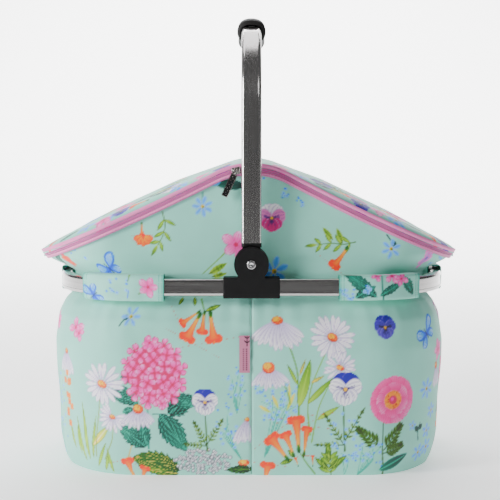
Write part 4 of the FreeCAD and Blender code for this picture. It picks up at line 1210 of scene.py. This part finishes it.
TAPE, COIL = rgb("f684c4"), rgb("e26cb6")
zip_parts = {}
for way, name in ((-1, "left"), (1, "right")):
    span = (way * 0.15, way * (2 * LID_QUARTER - 0.15))
    zip_parts["tape_" + name] = ribbon("zip_tape_lid_" + name, rounded(-4.7, 0.3, 0.3, 2.0, 0.8), *span, 420, TAPE, None,
                                       "pink_webbing", "lid_" + name)
    zip_parts["coil_" + name] = ribbon("zip_coil_lid_" + name, rounded(-6.8, -5.4, 0.3, 1.8, 0.5), *span, 420, COIL, None,
                                       "zip_coil_nylon", "lid_" + name)
    zip_parts["body_coil_" + name] = ribbon("zip_coil_rim_" + name, rounded(-8.8, -7.4, 0.3, 1.8, 0.5), *span, 420, COIL,
                                            "root", "zip_coil_nylon")
    # the rim tape carries one line of painted shade along its lower groove
    zip_parts["body_tape_" + name] = ribbon("zip_tape_rim_" + name, rounded(-14.0, -9.5, 0.0, 1.9, 0.7), *span, 420, TAPE,
                                            "root", "pink_webbing", grooves=((-13.2, 0.35, 0.2),))
    zip_parts["shelf_" + name] = ribbon("rim_band_" + name, [(-13.6, -2.4), (-13.6, -0.2), (-9.6, -0.2), (-9.6, -2.4)], *span,
                                        300, TAPE * 0.8, "root", "pink_webbing")
    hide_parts("zip_tape_" + name)
    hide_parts("zip_coil_" + name)
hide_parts("zip_tape_ridge")
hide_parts("zip_coil_ridge")
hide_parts("zip_coil_body")
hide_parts("zip_tape_body")
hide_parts("rim_binding")

# %% [markdown]
# ## The lining
# Inside, a silver coated sheet covers the foam: up the walls, over their top edge, and across the floor.

# %% Foil lining
def lining_place(u, v):
    """u runs all the way round, v from the floor's middle up the wall and out over the foam's edge."""
    turn = np.mod(u * 4, 4)
    quarter = np.floor(turn).clip(0, 3)
    share = turn - quarter
    flip = (quarter == 1) | (quarter == 3)
    s = np.where(flip, 1 - share, share) * QUARTER
    lx, ly, nx, ny = lid_plan(s * LID_QUARTER / QUARTER)
    lx, ly = lx - nx * (10 + TILT * nx ** 2), ly - ny * (10 + TILT * nx ** 2)
    top = zip_height(lx) - 8.2
    wall = np.clip((v - 0.3) / 0.6, 0, 1)
    z = np.where(v < 0.3, 11.0, 11.0 + (top - 11.0) * wall)
    half_x = np.interp(z, table_z, length_table) - 9.5
    half_y = np.interp(z, table_z, depth_table) - 9.5
    x, y, _, _ = round_plan(s, half_x, half_y, 36.0)
    t = np.clip((z - 226) / 22, 0, 1)
    x, y = x + (lx - x) * t, y + (ly - y) * t
    over = np.clip((v - 0.9) / 0.1, 0, 1) * (8 + 4.6 * nx ** 2)
    shrink = np.where(v < 0.3, v / 0.3, 1.0)
    x, y = (x + nx * over) * shrink, (y + ny * over) * shrink
    sign_x = np.where((quarter == 0) | (quarter == 1), 1.0, -1.0)
    sign_y = np.where((quarter == 1) | (quarter == 2), -1.0, 1.0)
    crinkle = 0.5 * np.sin(s / 5 + z / 7) * np.sin(z / 11 + s / 13)
    return np.stack([sign_x * (x - nx * crinkle * wall), sign_y * (y - ny * crinkle * wall), z], 1) * MM


tub = grid("foil_sheet", 240, 70)
co = vertices(tub)
flat_map(tub, co[:, 0] * 1320, co[:, 1] * 420)
set_vertices(tub, lining_place(co[:, 0], co[:, 1]))
weld(tub)
tub["flat_area"] = sum(f.area for f in tub.data.polygons)
thicken(tub, 0.6 * MM, 1)
outwards(tub)
finish_piece(tub, foil, "root", 60)
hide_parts("foil_lining", "foam_front", "foam_rear", "foam_end_left", "foam_end_right", "foam_base", "base_board")

# %% [markdown]
# ## Loops round the ring
# Six printed strips are folded round the ring and sewn to the bag. Each is a band that follows the ring, with an oblong
# section a little taller than the rail.

# %% Loops
RING_X, RING_Y, RING_R = 230.0, 140.0, 105.0


def ring_line(s):
    """The ring's outer face from the middle of the front, and its outward direction."""
    side = np.where(s < 0, -1.0, 1.0)
    a = np.abs(s)
    straight, bend = RING_X - RING_R, RING_R * math.pi / 2
    turn = np.clip((a - straight) / RING_R, 0, math.pi / 2)
    x = np.clip(a, 0, straight) + RING_R * np.sin(turn)
    y = -(RING_Y - RING_R) + np.clip(a - straight - bend, 0, None) - RING_R * np.cos(turn)
    return side * x, y, side * np.sin(turn), -np.cos(turn)


LOOP_LOW, LOOP_HIGH = 200.4, 229.0


def loop_section(k):
    """Round the loop's section, from the bottom of its outer face upwards: height and distance out from the rail."""
    around = [(LOOP_LOW, -4.5), (LOOP_LOW + 0.3, 0.6), (LOOP_LOW + 2.2, 1.7), (215, 1.9), (LOOP_HIGH - 2.0, 1.7),
              (LOOP_HIGH, 0.4), (LOOP_HIGH + 0.1, -6.5), (LOOP_HIGH - 0.3, -13.2), (LOOP_HIGH - 2.4, -14.8), (215, -15.0),
              (LOOP_LOW + 2.2, -14.8), (LOOP_LOW + 0.2, -13.2), (LOOP_LOW, -9.0), (LOOP_LOW, -4.5)]
    line = np.array(around)
    length = np.concatenate([[0], np.cumsum(np.hypot(*np.diff(line, axis=0).T))])
    at = k * length[-1]
    return np.interp(at, length, line[:, 0]), np.interp(at, length, line[:, 1]), length[-1]


def loop(name, s_from, s_to, columns, painter):
    obj = grid(name, columns, 72)
    co = vertices(obj)
    s = s_from + (s_to - s_from) * co[:, 0]
    z, out, around = loop_section(co[:, 1])
    flare = 0.5 * np.sin(s / 4.5) * np.sin(co[:, 1] * 9) * 0.6 + 0.35 * np.sin(s / 13 + co[:, 1] * 12)
    flare *= (out > -2) * 1.0
    x, y, nx, ny = ring_line(s)
    flat_map(obj, s, co[:, 1] * around)
    p = Print(s, 200 + (co[:, 1] * around - 5.0))
    painter(p)
    everywhere = np.arange(len(s))
    for edge in (s_from, s_to):
        inwards = np.sign(s_to + s_from - 2 * edge)
        p.lay(everywhere, (s - edge) * inwards - 0.9, rgb("2fa294"))
        for inset in (2.6, 5.2):
            p.lay(everywhere, np.maximum(abs(s - edge - inset * inwards) - 0.35, 0.7 - np.mod(co[:, 1] * around, 2.6)),
                  rgb("4fae9e"))
    paint(obj, p.c)
    set_vertices(obj, np.stack([x + nx * (out + flare), y + ny * (out + flare), z], 1) * MM)
    weld(obj)
    obj["flat_area"] = sum(f.area for f in obj.data.polygons)
    thicken(obj, 0.9 * MM, -1)
    outwards(obj)
    return finish_piece(obj, fabric, "root", 60)


loops = {}
corner_end = 125 + math.radians(40) * 105
loops["front_left"] = loop("loop_sleeve_front_left", -99.4, -corner_end, 90, lambda p: print_loop(p, -1))
loops["front_right"] = loop("loop_sleeve_front_right", 99.4, corner_end, 90, lambda p: print_loop(p, 1))
loops["rear_right"] = half_turned(loops["front_left"], "loop_sleeve_rear_right")
loops["rear_left"] = half_turned(loops["front_right"], "loop_sleeve_rear_left")
ring_quarter = (RING_X - RING_R) + RING_R * math.pi / 2 + (RING_Y - RING_R)


def print_end(p):
    leaf(p, ring_quarter - 6, 204, 60, 18, 7, LIGHT_TEAL, TEAL, MINT)
    blue_flower(p, ring_quarter + 8, 218, 9)
    star(p, ring_quarter + 24, 208, 10, 40, 5)
    spray(p, ring_quarter - 2, 210, 8, 8, 10, 84)


loops["end_right"] = loop("loop_sleeve_end_right", ring_quarter - 32, ring_quarter + 32, 52, print_end)
loops["end_left"] = half_turned(loops["end_right"], "loop_sleeve_end_left")
for name, piece in loops.items():
    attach(piece, "root")
    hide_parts("loop_" + name)

# %% [markdown]
# ## Stitching
# Twin-needle seams hold the front panels together. One stitch is a small stretched ball; an Array modifier repeats it
# along a straight row, and the row is then laid onto the cloth's form like the panels were.

# %% Stitch rows
def stitches(name, place, length, pitch=2.6, thick=0.28, colour_material=None):
    bpy.ops.mesh.primitive_uv_sphere_add(segments=6, ring_count=4, radius=1)
    obj = bpy.context.object
    obj.name = name
    obj.scale = (pitch * 0.4, thick, thick)
    apply_all(obj)
    modifier = obj.modifiers.new("Array", "ARRAY")
    modifier.count = int(length / pitch)
    modifier.use_relative_offset = False
    modifier.use_constant_offset = True
    modifier.constant_offset_displace = (pitch, 0, 0)
    apply_all(obj)
    co = vertices(obj)
    flat_map(obj, co[:, 0], co[:, 1])
    set_vertices(obj, place(co[:, 0] + pitch, co[:, 1], co[:, 2]))
    outwards(obj)
    return finish_piece(obj, colour_material or thread, "root", 60)


seam_rows = []
for tag, x, turn in (("left", -2.6, 1), ("right", 2.6, 1), ("rear_left", -2.6, -1), ("rear_right", 2.6, -1)):
    def low_row(t, a, b, x=x, turn=turn):
        co = on_lower(x + a, t + 2, b + 0.15)
        co[:, :2] *= turn
        return co
    seam_rows.append(stitches("seam_thread_" + tag, low_row, 196))

# %% The woven tab in the seam
TAB_WIDTH, TAB_HEIGHT = 12.0, 42.0


def print_tab(p):
    """A plain ornament: a small leaf spray over two rows of dashes."""
    ink = rgb("4a2136")
    sprig(p, [(-5, 150), (-5, 155), (-5, 160)], 4.5, ink, ink, pairs=2)
    for column, dark in ((-9.0, 0.75), (-5.6, 1.0)):
        for k in range(11):
            y = 123 + k * 2.3
            i = p.near(column, y, 4)
            p.lay(i, np.maximum(abs(p.x[i] - column) - 0.8, abs(p.y[i] - y) - 0.7), ink, 0.75 * dark)


tab = panel("seam_tab", 26, 84, lambda a, b: np.stack([a, -143.0 - 0.35 * np.sin((b - 119) / 9.0) - 0.4 * ((-a - 2) / 12), b], 1) * MM,
            print_tab, 0.45, material=webbing,
            region=lambda u, v: (-1.8 - TAB_WIDTH * (1 - u), 119.5 + TAB_HEIGHT * v), ground=rgb("c9789a"))
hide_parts("seam_label")

# %% [markdown]
# ## Slider and pull
# The slider is a small casting that runs on the coil. Its pull is a flat bar with a raised silver border and a black
# field, which carries a plain row of dots.

# %% Slider and pull
def rounded_bar(name, size, width, segments=2):
    bpy.ops.mesh.primitive_cube_add(size=1)
    obj = bpy.context.object
    obj.name = name
    obj.scale = [v * MM for v in size]
    only(obj)
    bpy.ops.object.transform_apply(location=True, rotation=True, scale=True)
    bpy.ops.object.mode_set(mode="EDIT")
    bpy.ops.mesh.select_all(action="SELECT")
    bpy.ops.mesh.bevel(offset=width * MM, segments=segments, affect="EDGES")
    bpy.ops.object.mode_set(mode="OBJECT")
    return obj


def joined(parts, name):
    bpy.ops.object.select_all(action="DESELECT")
    for part in parts:
        part.select_set(True)
    bpy.context.view_layer.objects.active = parts[0]
    bpy.ops.object.join()
    parts[0].name = name
    return parts[0]


def moved(obj, offset, turn=0.0):
    """Turn about Y, then move, in millimetres, and apply."""
    obj.rotation_euler = (0, math.radians(turn), 0)
    obj.location = [v * MM for v in offset]
    only(obj)
    bpy.ops.object.transform_apply(location=True, rotation=True, scale=True)
    return obj


PIN = (-17.672, -123.8, 347.143)
hang = 25.0
down = np.array([-math.sin(math.radians(hang)), 0, -math.cos(math.radians(hang))])


def hung(distance, out=0.0):
    """A place along the hanging pull."""
    return [PIN[k] + down[k] * distance + (0, -out, 0)[k] for k in range(3)]


plate = moved(rounded_bar("slider_plate", (10.2, 1.6, 8.4), 0.7, 3), (PIN[0], -120.9, PIN[2]), -12)
neck = moved(rounded_bar("slider_neck", (6.4, 1.9, 4.6), 0.6, 3), (PIN[0], -121.9, PIN[2]), hang)
posts = [moved(rounded_bar("slider_post", (1.3, 3.0, 2.6), 0.35), np.array(PIN) + [q * math.cos(math.radians(hang)), 1.2, -q
         * math.sin(math.radians(hang))], hang) for q in (-2.2, 2.2)]
bridge = moved(rounded_bar("slider_bridge", (5.0, 1.1, 1.3), 0.35), PIN, hang)
slider = joined([plate, neck, *posts, bridge], "slider_casting")
finish_piece(slider, zip_metal, "slider_front", 35)

bpy.ops.mesh.primitive_torus_add(major_segments=28, minor_segments=10, major_radius=1.75 * MM, minor_radius=0.62 * MM,
                                 rotation=(0, math.pi / 2, 0))
eye = bpy.context.object
eye.scale = (1.6, 1, 1)
apply_all(eye)
eye = moved(eye, hung(0.9, 0.0), hang)
arm = moved(rounded_bar("pull_arm", (3.0, 1.2, 3.6), 0.4), hung(3.4), hang)
bar = rounded_bar("pull_bar", (7.6, 1.5, 28.0), 0.3, 2)
only(bar)
bpy.ops.object.mode_set(mode="EDIT")
bpy.ops.mesh.select_all(action="DESELECT")
bpy.ops.object.mode_set(mode="OBJECT")
for face in bar.data.polygons:
    face.select = abs(face.normal.y) > 0.99
bpy.ops.object.mode_set(mode="EDIT")
bpy.ops.mesh.select_mode(type="FACE")
bpy.ops.mesh.inset(thickness=0.75 * MM, depth=0, use_individual=True)
bpy.ops.mesh.inset(thickness=0.12 * MM, depth=-0.3 * MM, use_individual=True)
bpy.ops.object.mode_set(mode="OBJECT")
bar.data.materials.append(zip_metal)
bar.data.materials.append(enamel)
for face in bar.data.polygons:
    face.material_index = 1 if face.select else 0
moved(bar, hung(18.3), hang)
beads = []
for k in range(10):
    across = (-0.9, 0.9)[k % 2]
    bpy.ops.mesh.primitive_uv_sphere_add(segments=8, ring_count=5, radius=0.5 * MM)
    bead = bpy.context.object
    spot = np.array(hung(7.6 + k * 2.4)) + np.array([across * math.cos(math.radians(hang)), -0.4,
                                                      -across * math.sin(math.radians(hang))])
    bead.location = spot * MM
    only(bead)
    bpy.ops.object.transform_apply(location=True, rotation=True, scale=True)
    beads.append(bead)
for part in [eye, arm, *beads]:
    part.data.materials.clear()
    part.data.materials.append(zip_metal)
pull = joined([bar, eye, arm, *beads], "zip_tag_front")
smooth(pull, 35)
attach(pull, "pull_front")
slider_rear = half_turned(slider, "slider_casting_rear")
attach(slider_rear, "slider_rear")
pull_rear = half_turned(pull, "zip_tag_rear")
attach(pull_rear, "pull_rear")
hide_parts("zip_slider_front")
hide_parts("zip_slider_rear")
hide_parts("zip_pull_front")
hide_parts("zip_pull_rear")

# %% [markdown]
# ## The grip
# A closed foam rubber sleeve round the top of the arch. Its section is a soft oval; the last few millimetres swell into
# a bead and then close onto the tube. The inner rows run back along the tube, so the mesh is closed.

# %% Grip
ARCH_Y, ARCH_TOP, BEND_R = 133.5, 516.0, 95.0
bend_y, bend_z = ARCH_Y - BEND_R, ARCH_TOP - BEND_R
wrap = math.radians(20)
half_arch = bend_y + BEND_R * wrap


def on_arch(d):
    """Place and direction at a distance d along the arch from the middle of its top."""
    side = np.sign(d)
    a = np.clip((np.abs(d) - bend_y) / BEND_R, 0, None)
    y = side * (np.minimum(np.abs(d), bend_y) + BEND_R * np.sin(a))
    z = bend_z + BEND_R * np.cos(a)
    return y, z, side * np.sin(a), np.cos(a)


grip = grid("grip_sleeve", 48, 200)
co = vertices(grip)
v = co[:, 1]
outer = v < 0.62
along = np.where(outer, -half_arch + 2 * half_arch * np.clip(v / 0.62, 0, 1), half_arch - 2 * half_arch * (v - 0.62) / 0.38)
from_end = half_arch - np.abs(along)
bead = 1.0 + 0.035 * np.exp(-((from_end - 3.2) / 2.2) ** 2) - 0.03 * np.exp(-((from_end - 7.4) / 1.1) ** 2)
close = np.sqrt(np.clip(1 - (1 - np.clip(from_end / 2.6, 0, 1)) ** 2, 0, 1))
angle = co[:, 0] * 2 * math.pi
ca, sa = np.cos(angle), np.sin(angle)
power = 2.3
radius = (np.abs(ca) ** power + np.abs(sa) ** power) ** (-1 / power)
wide = np.where(outer, 11.7 + (16.5 * bead - 11.7) * (0.35 + 0.65 * close), 11.7)
tall = np.where(outer, 7.2 + (14.0 * bead - 7.2) * (0.35 + 0.65 * close), 7.2)
py, pz, ny, nz = on_arch(along)
place = np.stack([wide * radius * ca, py + ny * tall * radius * sa, pz + nz * tall * radius * sa], 1)
flat_map(grip, co[:, 0] * 100, along)
set_vertices(grip, place * MM)
weld(grip)
outwards(grip)
finish_piece(grip, rubber, "handle", 60)
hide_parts("handle_grip")

# %% [markdown]
# ## Let the bag settle
# A soft bag never hangs quite centred in its ring. Everything sewn to the bag or lid is drawn in a little on the right.

# %% Settle to the left
sewn = [*lower.values(), *upper.values(), base, *roof.values(), *ceiling.values(), *zip_parts.values(), tub, *seam_rows]
for obj in sewn:
    co = vertices(obj)
    part = np.clip(co[:, 0] / 0.12, 0, 1)
    co[:, 0] *= 1 - (1 - RIGHT_SHARE) * part * part * (3 - 2 * part)
    set_vertices(obj, co)
print(len(sewn), "pieces settled")

# %% [markdown]
# ## Cloth and padding
# The sewn panels are sheets cut to a flat size; the roof halves are padded.


# %% [markdown]
# ## Studio
# A pale floor that sweeps up into a backdrop, one large soft light on the left, a weaker one on the right and one above.

# %% Floor, lights and camera
bpy.ops.mesh.primitive_plane_add(size=1)
floor = bpy.context.object
floor.name = "studio_floor"
floor.scale = (12, 7.5, 1)
floor.location = (0, 2.75, -0.0003)
only(floor)
bpy.ops.object.transform_apply(location=True, rotation=True, scale=True)
bpy.ops.object.mode_set(mode="EDIT")
bpy.ops.mesh.select_mode(type="EDGE")
bpy.ops.mesh.select_all(action="DESELECT")
bpy.ops.object.mode_set(mode="OBJECT")
far = [k for k, edge in enumerate(floor.data.edges) if all(floor.data.vertices[v].co.y > 5 for v in edge.vertices)]
floor.data.edges[far[0]].select = True
bpy.ops.object.mode_set(mode="EDIT")
bpy.ops.mesh.extrude_region_move(TRANSFORM_OT_translate={"value": (0, 0, 7)})
bpy.ops.object.mode_set(mode="OBJECT")
for edge in floor.data.edges:
    edge.select = all(abs(floor.data.vertices[v].co.y - 6.5) < 0.01 and floor.data.vertices[v].co.z < 0.1 for v in edge.vertices)
bpy.ops.object.mode_set(mode="EDIT")
bpy.ops.mesh.bevel(offset=4.5, segments=24, affect="EDGES")
bpy.ops.object.mode_set(mode="OBJECT")
bpy.ops.object.shade_smooth()
print("backdrop faces", len(floor.data.polygons))
paper, tree, bsdf = shader("studio_paper")
bsdf.inputs["Base Color"].default_value = (0.93, 0.93, 0.93, 1)
bsdf.inputs["Roughness"].default_value = 0.9
bsdf.inputs["Emission Color"].default_value = (1, 1, 1, 1)
bsdf.inputs["Emission Strength"].default_value = 0.6
floor.data.materials.append(paper)


def light(name, place, size, power, target=(0, 0, 0.22)):
    bpy.ops.object.light_add(type="AREA", location=place)
    lamp = bpy.context.object
    lamp.name = name
    lamp.data.shape = "RECTANGLE"
    lamp.data.size, lamp.data.size_y = size
    lamp.data.energy = power
    lamp.rotation_euler = (Vector(target) - Vector(place)).to_track_quat("-Z", "Y").to_euler()
    return lamp


light("key", (-1.7, -0.9, 0.75), (0.5, 1.2), 54)
light("fill", (0.9, -2.3, 1.6), (0.8, 0.8), 5)
light("top", (-0.3, 0.3, 2.2), (1.6, 1.2), 16)
light("back", (0, 2.6, 3.4), (4.0, 2.5), 900, (0, 5.2, 0.6))
world = bpy.data.worlds.new("studio_air")
bpy.context.scene.world = world
world.use_nodes = True
world.node_tree.nodes["Background"].inputs["Color"].default_value = (1.0, 1.0, 1.0, 1)
world.node_tree.nodes["Background"].inputs["Strength"].default_value = 0.1

bpy.ops.object.camera_add(location=(0, -1.504, 0.3895), rotation=(math.pi / 2, 0, 0))
camera = bpy.context.object
camera.data.sensor_width = 36
camera.data.lens = 86.65
camera.data.shift_x = -0.003
camera.data.shift_y = -0.232
bpy.context.scene.camera = camera
